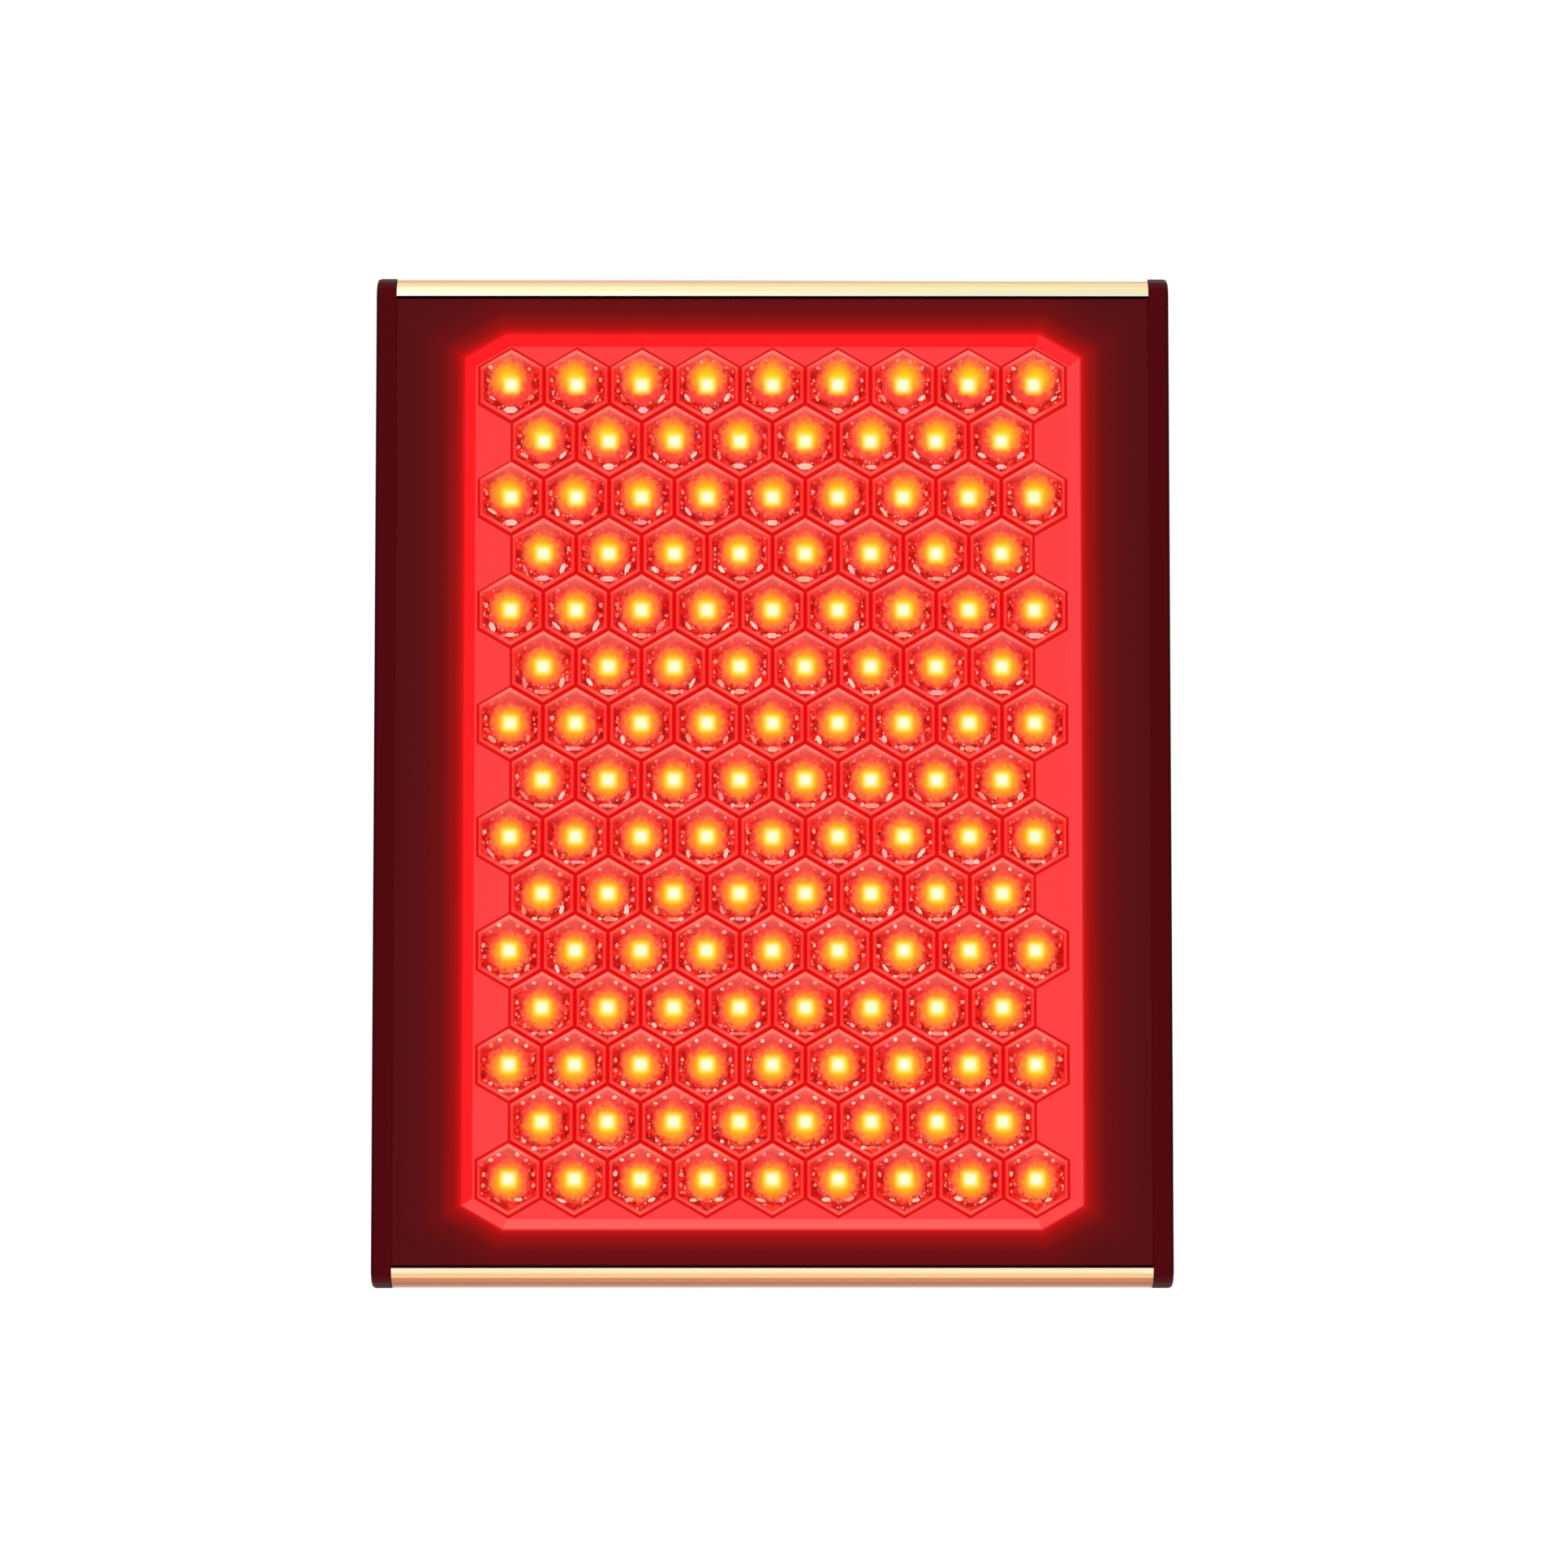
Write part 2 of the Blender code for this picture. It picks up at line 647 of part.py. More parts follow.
def soften_outer_edge(obj, side):
    """Rounds the rim of the cap's outer face."""
    shape = bmesh.new()
    shape.from_mesh(obj.data)
    outer = side * PANEL_WIDTH / 2
    rim = [edge for edge in shape.edges
           if all(abs(vert.co.x - outer) < SAME_PLACE for vert in edge.verts) and len(edge.link_faces) == 2
           and abs(edge.calc_face_angle(0.0)) > SHARP_ANGLE]
    bmesh.ops.bevel(shape, geom=rim, offset=CAP_EDGE_ROUND, offset_type="OFFSET", segments=ROUND_STEPS,
                    profile=0.5, affect="EDGES", clamp_overlap=False)
    bmesh.ops.recalc_face_normals(shape, faces=shape.faces)
    shape.to_mesh(obj.data)
    shape.free()


def front_cover():
    bottom = CAP_PROUD + RAIL_FRONT_ROUND + COVER_SEAM
    obj = block("front_cover", (-COVER_HALF_WIDTH, RAIL_FRONT_Y, bottom),
                (COVER_HALF_WIDTH, COVER_BACK_Y, PANEL_HEIGHT - bottom))
    chamfer_front_edges(obj)
    skirt = bmesh.new()
    skirt_back = LENS_FRONT_Y - SEAT_GAP
    middle = (RAIL_FRONT_Y + COVER_BACK_Y) / 2
    slope = WINDOW_INSET / WINDOW_DEPTH
    loft(skirt, [window_ring(slope * (middle - RAIL_FRONT_Y) - WINDOW_WALL, middle),
                 window_ring(slope * (skirt_back - RAIL_FRONT_Y) - WINDOW_WALL, skirt_back)])
    join(obj, object_from_bmesh("front_cover_skirt", skirt))
    opening = bmesh.new()
    near = RAIL_FRONT_Y - CUT_OVERRUN
    far = skirt_back + CUT_OVERRUN
    loft(opening, [window_ring(slope * (near - RAIL_FRONT_Y), near),
                   window_ring(slope * (far - RAIL_FRONT_Y), far)])
    cut(obj, object_from_bmesh("front_cover_opening", opening))
    return finished(obj, "front_cover", black_cover_enamel())


def chamfer_front_edges(obj):
    shape = bmesh.new()
    shape.from_mesh(obj.data)
    front = [edge for edge in shape.edges
             if all(abs(vert.co.y - RAIL_FRONT_Y) < SAME_PLACE for vert in edge.verts)]
    bmesh.ops.bevel(shape, geom=front, offset=COVER_EDGE_CHAMFER, offset_type="OFFSET", segments=1,
                    profile=0.5, affect="EDGES")
    shape.to_mesh(obj.data)
    shape.free()


# Light engine

def honeycomb_lens():
    half_width, half_height = LENS_WIDTH / 2, LENS_HEIGHT / 2
    obj = block("honeycomb_lens", (-half_width, LENS_FRONT_Y, CENTRE_Z - half_height),
                (half_width, LENS_BACK_Y, CENTRE_Z + half_height))
    pocket_y = LENS_FRONT_Y + LENS_FLOOR_THICKNESS
    half_width -= LENS_RIM_WIDTH
    half_height -= LENS_RIM_WIDTH
    cut(obj, block("lens_back_pocket", (-half_width, pocket_y, CENTRE_Z - half_height),
                   (half_width, LENS_BACK_Y + CUT_OVERRUN, CENTRE_Z + half_height)))
    top = LENS_FRONT_Y - CELL_HEIGHT
    root = LENS_FRONT_Y + LENS_FLOOR_THICKNESS / 2
    places = [(across, (top + root) / 2, height) for across, height in cell_centres()]
    join(obj, rods("lens_cells", places, FACING_Y, root - top, hexagon_radius(CELL_PITCH - CELL_GROOVE), 6))
    slope = (CELL_PITCH - CELL_GROOVE - 2 * CELL_RIM - CELL_BOWL_FLOOR) / 2 / CELL_BOWL_DEPTH
    mouth = top - CUT_OVERRUN
    wide = CELL_PITCH - CELL_GROOVE - 2 * CELL_RIM + 2 * slope * CUT_OVERRUN
    length = CELL_BOWL_DEPTH + CUT_OVERRUN
    places = [(across, mouth + length / 2, height) for across, height in cell_centres()]
    cut(obj, rods("lens_bowls", places, FACING_Y, length, hexagon_radius(CELL_BOWL_FLOOR), 6,
                  hexagon_radius(wide)))
    return finished(obj, "honeycomb_lens", lens_plastic())


def led_board():
    half_width = LENS_WIDTH / 2 - BOARD_MARGIN
    half_height = LENS_HEIGHT / 2 - BOARD_MARGIN
    obj = block("led_board", (-half_width, BOARD_FRONT_Y, CENTRE_Z - half_height),
                (half_width, BOARD_BACK_Y, CENTRE_Z + half_height))
    half = EMITTER_SIZE / 2
    boxes = []
    for across, height in cell_centres():
        boxes.append(((across - half, BOARD_FRONT_Y - EMITTER_HEIGHT, height - half),
                      (across + half, BOARD_FRONT_Y + BOARD_THICKNESS / 2, height + half)))
    join(obj, blocks("board_emitters", boxes))
    return finished(obj, "led_board", board_enamel())


def fin_gap_near(across):
    """Middle of the gap between two fins in which a place lies."""
    first = FIN_THICKNESS / 2 - SINK_HALF_WIDTH
    return first + (math.floor((across - first) / FIN_PITCH) + 1 / 2) * FIN_PITCH


def heat_sink():
    """Base plate across the rails' ledges, with upright fins that stop short of them."""
    half = SINK_HALF_WIDTH
    bottom = CAP_PROUD + SINK_END_GAP
    obj = block("heat_sink", (-half, SINK_FRONT_Y, bottom), (half, SINK_BACK_Y, PANEL_HEIGHT - bottom))
    fin_end = CAP_PROUD + RAIL_LEDGE_REACH + FIN_END_GAP
    root_y = SINK_BACK_Y - SINK_BASE / 2
    fins = []
    for fin in range(FIN_COUNT):
        left = fin * FIN_PITCH - half
        inset = FIN_EDGE_INSET if fin in (0, FIN_COUNT - 1) else 0.0
        left += inset if fin == 0 else -inset
        fins.append(((left, root_y, fin_end), (left + FIN_THICKNESS, FIN_TIP_Y, PANEL_HEIGHT - fin_end)))
    join(obj, blocks("heat_sink_fins", fins))
    holes = [(across, root_y, board_lead_height()) for across in board_lead_columns()]
    cut(obj, rods("heat_sink_lead_holes", holes, FACING_Y, SINK_BASE + 2 * CUT_OVERRUN,
                  BOARD_LEAD_HOLE, HOLE_FACETS))
    return finished(obj, "heat_sink", bare_aluminium())


# Rear cover

def back_screw_columns():
    return [side * (COVER_HALF_WIDTH - BACK_SCREW_FROM_EDGE) for side in (-1, 1)]


def back_screw_height(at_top):
    rise = CAP_PROUD + (BACK_LIP + RAIL_BACK_TONGUE_REACH) / 2
    return PANEL_HEIGHT - rise if at_top else rise


def fan_places():
    return [(side * FAN_SPACING / 2, FAN_HEIGHT_UP) for side in (-1, 1)]


def slot_box(across, low, high, width):
    front, back = PLATE_FRONT_Y - CUT_OVERRUN, PLATE_BACK_Y + CUT_OVERRUN
    return ((across - width / 2, front, low), (across + width / 2, back, high))


def grille_slots(centre):
    """Upright slots in three rows, kept inside the circle that the blades sweep."""
    middle_x, middle_z = centre
    radius = FAN_BORE_RADIUS - GRILLE_INSET
    columns = int(radius / GRILLE_PITCH)
    boxes = []
    for column in range(-columns, columns + 1):
        across = column * GRILLE_PITCH
        reach = abs(across) + GRILLE_SLOT_WIDTH / 2
        if reach >= radius:
            continue
        half_chord = math.sqrt(radius ** 2 - reach ** 2)
        for row in (-1, 0, 1):
            row_middle = row * (GRILLE_ROW_LENGTH + GRILLE_BAR)
            low = max(row_middle - GRILLE_ROW_LENGTH / 2, -half_chord)
            high = min(row_middle + GRILLE_ROW_LENGTH / 2, half_chord)
            if high - low > GRILLE_SHORTEST:
                boxes.append(slot_box(middle_x + across, middle_z + low, middle_z + high,
                                      GRILLE_SLOT_WIDTH))
    return boxes


def vent_slots():
    top = PANEL_HEIGHT - VENT_FROM_TOP
    count = int(2 * (COVER_HALF_WIDTH - VENT_FROM_EDGE) / VENT_PITCH) + 1
    places = [(index - (count - 1) / 2) * VENT_PITCH for index in range(count)]
    return [slot_box(across, top - VENT_LENGTH, top, VENT_WIDTH) for across in places]


def keyhole_outline(across, height):
    """Round hole for a screw head with a narrow slot running up from it."""
    half = KEYHOLE_SLOT_WIDTH / 2
    start = math.acos(half / KEYHOLE_HEAD_RADIUS)
    head = arc((across, height), KEYHOLE_HEAD_RADIUS, math.pi - start, 2 * math.pi + start, ROUND_FACETS)
    top = arc((across, height + KEYHOLE_SLOT_REACH), half, 0.0, math.pi, ARC_STEPS)
    return head + top


def fan_screw_places(centre):
    across, height = centre
    half = FAN_SIZE / 2 - FAN_HOLE_INSET
    return [(across + side * half, height + rise * half) for side in (-1, 1) for rise in (-1, 1)]


def driver_screw_places(side):
    across = side * FAN_SPACING / 2
    reach = (DRIVER_WIDTH - DRIVER_FOOT) / 2
    return [(across + way * reach, DRIVER_HEIGHT_UP) for way in (-1, 1)]


def rear_cover():
    bottom = CAP_PROUD + BACK_LIP + SEAT_GAP
    obj = block("rear_cover", (-COVER_HALF_WIDTH, PLATE_FRONT_Y, bottom),
                (COVER_HALF_WIDTH, PLATE_BACK_Y, PANEL_HEIGHT - bottom))
    slots = vent_slots()
    for centre in fan_places():
        slots += grille_slots(centre)
    for side in (-1, 1):
        across = side * SWITCH_SPACING / 2
        half_height = SWITCH_HEIGHT / 2 + SEAT_GAP
        slots.append(slot_box(across, SERVICE_HEIGHT_UP - half_height, SERVICE_HEIGHT_UP + half_height,
                              SWITCH_WIDTH + 2 * SEAT_GAP))
    half_height = INLET_HEIGHT / 2 + SEAT_GAP
    slots.append(slot_box(0.0, SERVICE_HEIGHT_UP - half_height, SERVICE_HEIGHT_UP + half_height,
                          INLET_WIDTH + 2 * SEAT_GAP))
    cut(obj, blocks("rear_cover_slots", slots))
    thickness = BACK_THICKNESS + 2 * CUT_OVERRUN
    middle_y = (PLATE_FRONT_Y + PLATE_BACK_Y) / 2
    for side, title in ((-1, "right"), (1, "left")):
        across = side * (COVER_HALF_WIDTH - KEYHOLE_FROM_EDGE)
        outline = keyhole_outline(across, PANEL_HEIGHT - KEYHOLE_FROM_TOP)
        cut(obj, extruded("keyhole_" + title, [outline], FACING_Y, thickness, (0.0, middle_y, 0.0)))
    places = []
    for at_top in (False, True):
        places += [(across, middle_y, back_screw_height(at_top)) for across in back_screw_columns()]
    cut(obj, rods("rear_cover_screw_holes", places, FACING_Y, thickness, SCREW_HOLE_RADIUS, HOLE_FACETS))
    return finished(obj, "rear_cover", black_back_enamel())


# Cooling fans

def fan_frame(name, centre):
    """Square frame with a round duct, and a motor plate held by struts on the outer side."""
    across, height = centre
    outlines = [rounded_rectangle(FAN_SIZE, FAN_SIZE, FAN_CORNER_ROUND, ROUND_STEPS, centre)]
    outlines.append(circle(centre, FAN_BORE_RADIUS, BORE_FACETS))
    outlines += [circle(place, FAN_HOLE_RADIUS, HOLE_FACETS) for place in fan_screw_places(centre)]
    middle_y = INSIDE_BACK_Y - FAN_DEPTH / 2
    obj = extruded(name, outlines, FACING_Y, FAN_DEPTH, (0.0, middle_y, 0.0))
    plate_y = INSIDE_BACK_Y - FAN_PLATE / 2
    long_strut = 2 * FAN_BORE_RADIUS + FAN_STRUT_WIDTH
    for turn in range(FAN_STRUT_COUNT // 2):
        angle = math.pi / 4 + turn * math.pi / 2
        shape = bmesh.new()
        place = Matrix.Translation((across, plate_y, height)) @ Matrix.Rotation(angle, 4, "Y")
        place = place @ Matrix.Diagonal((long_strut, FAN_PLATE, FAN_STRUT_WIDTH, 1.0))
        bmesh.ops.create_cube(shape, size=1.0, matrix=place)
        join(obj, object_from_bmesh(name + "_strut", shape))
    join(obj, rods(name + "_motor_plate", [(across, plate_y, height)], FACING_Y, FAN_PLATE,
                   FAN_HUB_RADIUS, HUB_FACETS))
    bearing_y = INSIDE_BACK_Y - FAN_BEARING_HEIGHT / 2
    join(obj, rods(name + "_bearing_post", [(across, bearing_y, height)], FACING_Y, FAN_BEARING_HEIGHT,
                   FAN_BEARING_OUTER, HUB_FACETS))
    bore_length = FAN_BEARING_HEIGHT + 2 * CUT_OVERRUN
    cut(obj, rods(name + "_bearing_bore", [(across, bearing_y, height)], FACING_Y, bore_length,
                  FAN_BEARING_RADIUS, HUB_FACETS))
    return finished(obj, name, fan_plastic(), smooth=True)


def blade_section(radius, pitch, sweep, axial_length, middle_y):
    """Four corners of one blade's section, leaning by its pitch and wrapped to its radius."""
    lean = axial_length / 2 * math.tan(pitch)
    thick = FAN_BLADE_THICKNESS / 2 / math.cos(pitch)
    points = []
    for end, face in ((-1, -1), (1, -1), (1, 1), (-1, 1)):
        along = end * lean + face * thick
        angle = sweep + along / radius
        depth = middle_y + end * axial_length / 2
        points.append((radius * math.sin(angle), depth, radius * math.cos(angle)))
    return points


def fan_rotor(name, centre):
    """Cup on a shaft, with swept and twisted blades, hung in the frame's bearing post."""
    across, height = centre
    tip_radius = FAN_BORE_RADIUS * math.cos(math.pi / BORE_FACETS) - FAN_TIP_GAP
    cup_radius = FAN_HUB_RADIUS
    cup_back = INSIDE_BACK_Y - FAN_PLATE - FAN_AXIAL_GAP
    cup_front = INSIDE_BACK_Y - FAN_DEPTH + FAN_AXIAL_GAP
    cup_length = cup_back - cup_front
    cup_middle = (cup_back + cup_front) / 2
    obj = rods(name, [(0.0, cup_middle, 0.0)], FACING_Y, cup_length, cup_radius, HUB_FACETS)
    well_back = cup_back + CUT_OVERRUN
    well_front = cup_front + FAN_CUP_WALL
    cut(obj, rods(name + "_well", [(0.0, (well_back + well_front) / 2, 0.0)], FACING_Y,
                  well_back - well_front, cup_radius - FAN_CUP_WALL, HUB_FACETS))
    shaft_back = INSIDE_BACK_Y - FAN_SHAFT_SEAT
    shaft_front = cup_front + FAN_CUP_WALL / 2
    join(obj, rods(name + "_shaft", [(0.0, (shaft_back + shaft_front) / 2, 0.0)], FACING_Y,
                   shaft_back - shaft_front, FAN_SHAFT_RADIUS, HUB_FACETS))
    blades = bmesh.new()
    axial_length = cup_length - 2 * FAN_AXIAL_GAP
    root_radius = cup_radius - FAN_CUP_WALL / 2
    middle_radius = (root_radius + tip_radius) / 2
    middle_pitch = (BLADE_ROOT_PITCH + BLADE_TIP_PITCH) / 2
    middle_sweep = BLADE_SWEEP * MIDDLE_SWEEP_SHARE
    for blade in range(FAN_BLADE_COUNT):
        turn = 2 * math.pi * blade / FAN_BLADE_COUNT
        stations = ((root_radius, BLADE_ROOT_PITCH, turn),
                    (middle_radius, middle_pitch, turn + middle_sweep),
                    (tip_radius, BLADE_TIP_PITCH, turn + BLADE_SWEEP))
        loft(blades, [blade_section(*station, axial_length, cup_middle) for station in stations])
    bmesh.ops.triangulate(blades, faces=blades.faces)
    join(obj, object_from_bmesh(name + "_blades", blades))
    for piece in [obj] + [step.object for step in obj.modifiers]:
        piece.location = (across, 0.0, height)
    return finished(obj, name, fan_plastic(), smooth=True)


# Drivers

def led_driver(name, side):
    """Potted driver in a cast case, with a slotted foot at each end."""
    across = side * FAN_SPACING / 2
    case_half = DRIVER_WIDTH / 2 - DRIVER_FOOT
    outline = rounded_rectangle(2 * case_half, DRIVER_HEIGHT, DRIVER_EDGE_ROUND, ROUND_STEPS,
                                (across, DRIVER_HEIGHT_UP))
    obj = extruded(name, [outline], FACING_Y, DRIVER_DEPTH, (0.0, INSIDE_BACK_Y - DRIVER_DEPTH / 2, 0.0))
    foot_y = INSIDE_BACK_Y - DRIVER_FOOT_THICKNESS
    half_foot = DRIVER_HEIGHT / 2 - DRIVER_FOOT
    join(obj, block(name + "_feet", (across - DRIVER_WIDTH / 2, foot_y, DRIVER_HEIGHT_UP - half_foot),
                    (across + DRIVER_WIDTH / 2, INSIDE_BACK_Y, DRIVER_HEIGHT_UP + half_foot)))
    places = [(column, foot_y, height) for column, height in driver_screw_places(side)]
    cut(obj, rods(name + "_foot_holes", places, FACING_Y, 2 * DRIVER_FOOT_THICKNESS + 2 * CUT_OVERRUN,
                  DRIVER_FOOT_HOLE, HOLE_FACETS))
    return finished(obj, name, bare_aluminium())


# Power inlet

def pin_places():
    half = PIN_SPACING / 2
    rise = PIN_EARTH_RISE / 2
    return (("inlet_live_pin", -half, -rise), ("inlet_neutral_pin", half, -rise),
            ("inlet_earth_pin", 0.0, rise))


def cavity_outline():
    """Plug cavity: a rectangle with its two upper corners cut off."""
    half_width, half_height = INLET_CAVITY_WIDTH / 2, INLET_CAVITY_HEIGHT / 2
    corner = INLET_CAVITY_CORNER
    points = [(-half_width, -half_height), (half_width, -half_height), (half_width, half_height - corner)]
    points += [(half_width - corner, half_height), (corner - half_width, half_height)]
    points += [(-half_width, half_height - corner)]
    return [(across, SERVICE_HEIGHT_UP + up) for across, up in points]


def power_inlet():
    flange = rounded_rectangle(INLET_FLANGE_WIDTH, INLET_FLANGE_HEIGHT, INLET_FLANGE_ROUND, ROUND_STEPS + 1,
                               (0.0, SERVICE_HEIGHT_UP))
    flange_y = OUTSIDE_BACK_Y + INLET_FLANGE / 2
    obj = extruded("power_inlet", [flange], FACING_Y, INLET_FLANGE, (0.0, flange_y, 0.0))
    half_width, half_height = INLET_WIDTH / 2, INLET_HEIGHT / 2
    mouth_y = OUTSIDE_BACK_Y + INLET_FLANGE
    low, high = SERVICE_HEIGHT_UP - half_height, SERVICE_HEIGHT_UP + half_height
    join(obj, block("power_inlet_body", (-half_width, mouth_y - INLET_DEPTH, low),
                    (half_width, flange_y, high)))
    depth = INLET_CAVITY_DEPTH + CUT_OVERRUN
    cut(obj, extruded("power_inlet_cavity", [cavity_outline()], FACING_Y, depth,
                      (0.0, mouth_y + CUT_OVERRUN - depth / 2, 0.0)))
    boxes = []
    for name, across, rise in pin_places():
        low_x, high_x = across - PIN_WIDTH / 2 - SEAT_GAP, across + PIN_WIDTH / 2 + SEAT_GAP
        low_z = SERVICE_HEIGHT_UP + rise - PIN_HEIGHT / 2 - SEAT_GAP
        high_z = SERVICE_HEIGHT_UP + rise + PIN_HEIGHT / 2 + SEAT_GAP
        boxes.append(((low_x, mouth_y - INLET_DEPTH - CUT_OVERRUN, low_z),
                      (high_x, mouth_y - CUT_OVERRUN, high_z)))
    cut(obj, blocks("power_inlet_pin_slots", boxes))
    return finished(obj, "power_inlet", inlet_plastic(), smooth=True)


def inlet_pin(name, across, rise):
    mouth_y = OUTSIDE_BACK_Y + INLET_FLANGE
    tip_y = mouth_y - PIN_TIP_SINK
    tab_y = mouth_y - INLET_DEPTH - PIN_TAB_REACH
    half_width, half_height = PIN_WIDTH / 2, PIN_HEIGHT / 2
    middle_z = SERVICE_HEIGHT_UP + rise
    obj = block(name, (across - half_width, tab_y, middle_z - half_height),
                (across + half_width, tip_y, middle_z + half_height))
    shape = bmesh.new()
    shape.from_mesh(obj.data)
    tip = [edge for edge in shape.edges if all(abs(vert.co.y - tip_y) < SAME_PLACE for vert in edge.verts)]
    bmesh.ops.bevel(shape, geom=tip, offset=PIN_TIP_CHAMFER, offset_type="OFFSET", segments=1,
                    profile=0.5, affect="EDGES")
    shape.to_mesh(obj.data)
    shape.free()
    return finished(obj, name, plated_brass())


# Rocker switches

def switch_bezel(name, side):
    """Snap-in body with a well for the rocker and a thin bezel outside the cover."""
    across = side * SWITCH_SPACING / 2
    centre = (across, SERVICE_HEIGHT_UP)
    width = SWITCH_WIDTH + 2 * SWITCH_BEZEL_LIP
    height = SWITCH_HEIGHT + 2 * SWITCH_BEZEL_LIP
    bezel = rounded_rectangle(width, height, SWITCH_BEZEL_ROUND, ROUND_STEPS, centre)
    mouth_y = OUTSIDE_BACK_Y + SWITCH_BEZEL
    middle_y = OUTSIDE_BACK_Y + SWITCH_BEZEL / 2
    obj = extruded(name, [bezel], FACING_Y, SWITCH_BEZEL, (0.0, middle_y, 0.0))
    half_width, half_height = SWITCH_WIDTH / 2, SWITCH_HEIGHT / 2
    low, high = SERVICE_HEIGHT_UP - half_height, SERVICE_HEIGHT_UP + half_height
    join(obj, block(name + "_body", (across - half_width, mouth_y - SWITCH_DEPTH, low),
                    (across + half_width, middle_y, high)))
    half_width, half_height = WELL_WIDTH / 2, WELL_HEIGHT / 2
    low, high = SERVICE_HEIGHT_UP - half_height, SERVICE_HEIGHT_UP + half_height
    cut(obj, block(name + "_well", (across - half_width, mouth_y - WELL_DEPTH, low),
                   (across + half_width, mouth_y + CUT_OVERRUN, high)))
    pivot_y = mouth_y - ROCKER_PIVOT_DEPTH
    length = WELL_WIDTH + 2 * (ROCKER_PIN_REACH + SEAT_GAP)
    cut(obj, rods(name + "_pivot_bore", [(across, pivot_y, SERVICE_HEIGHT_UP)], FACING_X, length,
                  ROCKER_PIN_BORE, ROUND_FACETS))
    return finished(obj, name, inlet_plastic())


def switch_rocker(name, side):
    """Rocker with a shallow V on top, lying on its upper stop, on pins along its hinge."""
    across = side * SWITCH_SPACING / 2
    pivot_y = OUTSIDE_BACK_Y + SWITCH_BEZEL - ROCKER_PIVOT_DEPTH
    reach = ROCKER_HALF_LENGTH
    outline = [(ROCKER_END_RISE, reach), (ROCKER_MIDDLE_RISE, 0.0), (ROCKER_END_RISE, -reach)]
    outline += [(-ROCKER_SKIRT, -reach), (-ROCKER_KEEL, -ROCKER_KEEL_HALF)]
    outline += [(-ROCKER_KEEL, ROCKER_KEEL_HALF), (-ROCKER_SKIRT, reach)]
    width = WELL_WIDTH - 2 * SEAT_GAP
    obj = extruded(name, [outline], FACING_X, width, (0.0, 0.0, 0.0))
    length = WELL_WIDTH + 2 * ROCKER_PIN_REACH
    join(obj, rods(name + "_pins", [(0.0, 0.0, 0.0)], FACING_X, length, ROCKER_PIN_RADIUS, ROUND_FACETS))
    for piece in (obj, obj.modifiers[0].object):
        piece.location = (across, pivot_y, SERVICE_HEIGHT_UP)
        piece.rotation_euler = (ROCKER_TILT, 0.0, 0.0)
    return finished(obj, name, rocker_plastic())


# Screws

def screw(name, head_face, outward, shank_length):
    """Button-headed screw with a hexagon socket; head_face is the middle of its outer face."""
    turn = Vector((0.0, 0.0, 1.0)).rotation_difference(Vector(outward)).to_matrix().to_4x4()
    place = Matrix.Translation(head_face) @ turn
    head = bmesh.new()
    add_rod(head, place @ Vector((0.0, 0.0, -SCREW_HEAD_HEIGHT / 2)), turn, SCREW_HEAD_HEIGHT,
            SCREW_HEAD_RADIUS, ROUND_FACETS)
    obj = object_from_bmesh(name, head)
    length = shank_length + SCREW_HEAD_HEIGHT / 2
    middle = place @ Vector((0.0, 0.0, -SCREW_HEAD_HEIGHT / 2 - length / 2))
    join(obj, rods(name + "_shank", [middle], turn, length, SCREW_SHANK_RADIUS, HOLE_FACETS))
    depth = SCREW_SOCKET_DEPTH + CUT_OVERRUN
    middle = place @ Vector((0.0, 0.0, CUT_OVERRUN - depth / 2))
    cut(obj, rods(name + "_socket", [middle], turn, depth, SCREW_SOCKET_RADIUS, 6))
    return finished(obj, name, screw_steel(), smooth=True)


def cap_screws():
    for side, title in ((-1, "right"), (1, "left")):
        for index, (depth, height) in enumerate(cap_screw_places()):
            name = "{}_cap_screw_{}".format(title, index + 1)
            screw(name, (side * PANEL_WIDTH / 2, depth, height), (side, 0.0, 0.0), SCREW_SHANK_LENGTH)


def back_screws():
    index = 0
    for at_top in (False, True):
        for across in back_screw_columns():
            index += 1
            face_y = OUTSIDE_BACK_Y + SCREW_HEAD_HEIGHT
            screw("rear_cover_screw_{}".format(index), (across, face_y, back_screw_height(at_top)),
                  (0.0, 1.0, 0.0), BACK_SHANK_LENGTH)


# Leads inside the housing

def straight_end(place, way, straight=LEAD_STRAIGHT):
    """First stops of a lead, which leaves its terminal squarely."""
    place, way = Vector(place), Vector(way)
    return [place, place + way * straight / 2, place + way * straight]


def pin_end(across, rise):
    depth = OUTSIDE_BACK_Y + INLET_FLANGE - INLET_DEPTH - PIN_TAB_REACH / 2
    top = SERVICE_HEIGHT_UP + rise + PIN_HEIGHT / 2 + SEAT_GAP
    return straight_end((across, depth, top), (0.0, 0.0, 1.0))


def switch_end(side, offset, rise):
    back_y = OUTSIDE_BACK_Y + SWITCH_BEZEL - SWITCH_DEPTH - SEAT_GAP
    across = side * SWITCH_SPACING / 2 + offset
    return straight_end((across, back_y, SERVICE_HEIGHT_UP + rise), (0.0, -1.0, 0.0))


def driver_end(across, way):
    """End on a driver's lower or upper face, with way -1 or 1."""
    reach = DRIVER_HEIGHT / 2 + SEAT_GAP
    place = (across, INSIDE_BACK_Y - DRIVER_DEPTH / 2, DRIVER_HEIGHT_UP + way * reach)
    return straight_end(place, (0.0, 0.0, way))


def board_lead_columns():
    reach = FAN_SPACING / 2 - DRIVER_LEAD_SPACING
    return [fin_gap_near(side * reach) for side in (-1, 1)]


def board_lead_height():
    return DRIVER_HEIGHT_UP + DRIVER_HEIGHT / 2 + BOARD_LEAD_RISE


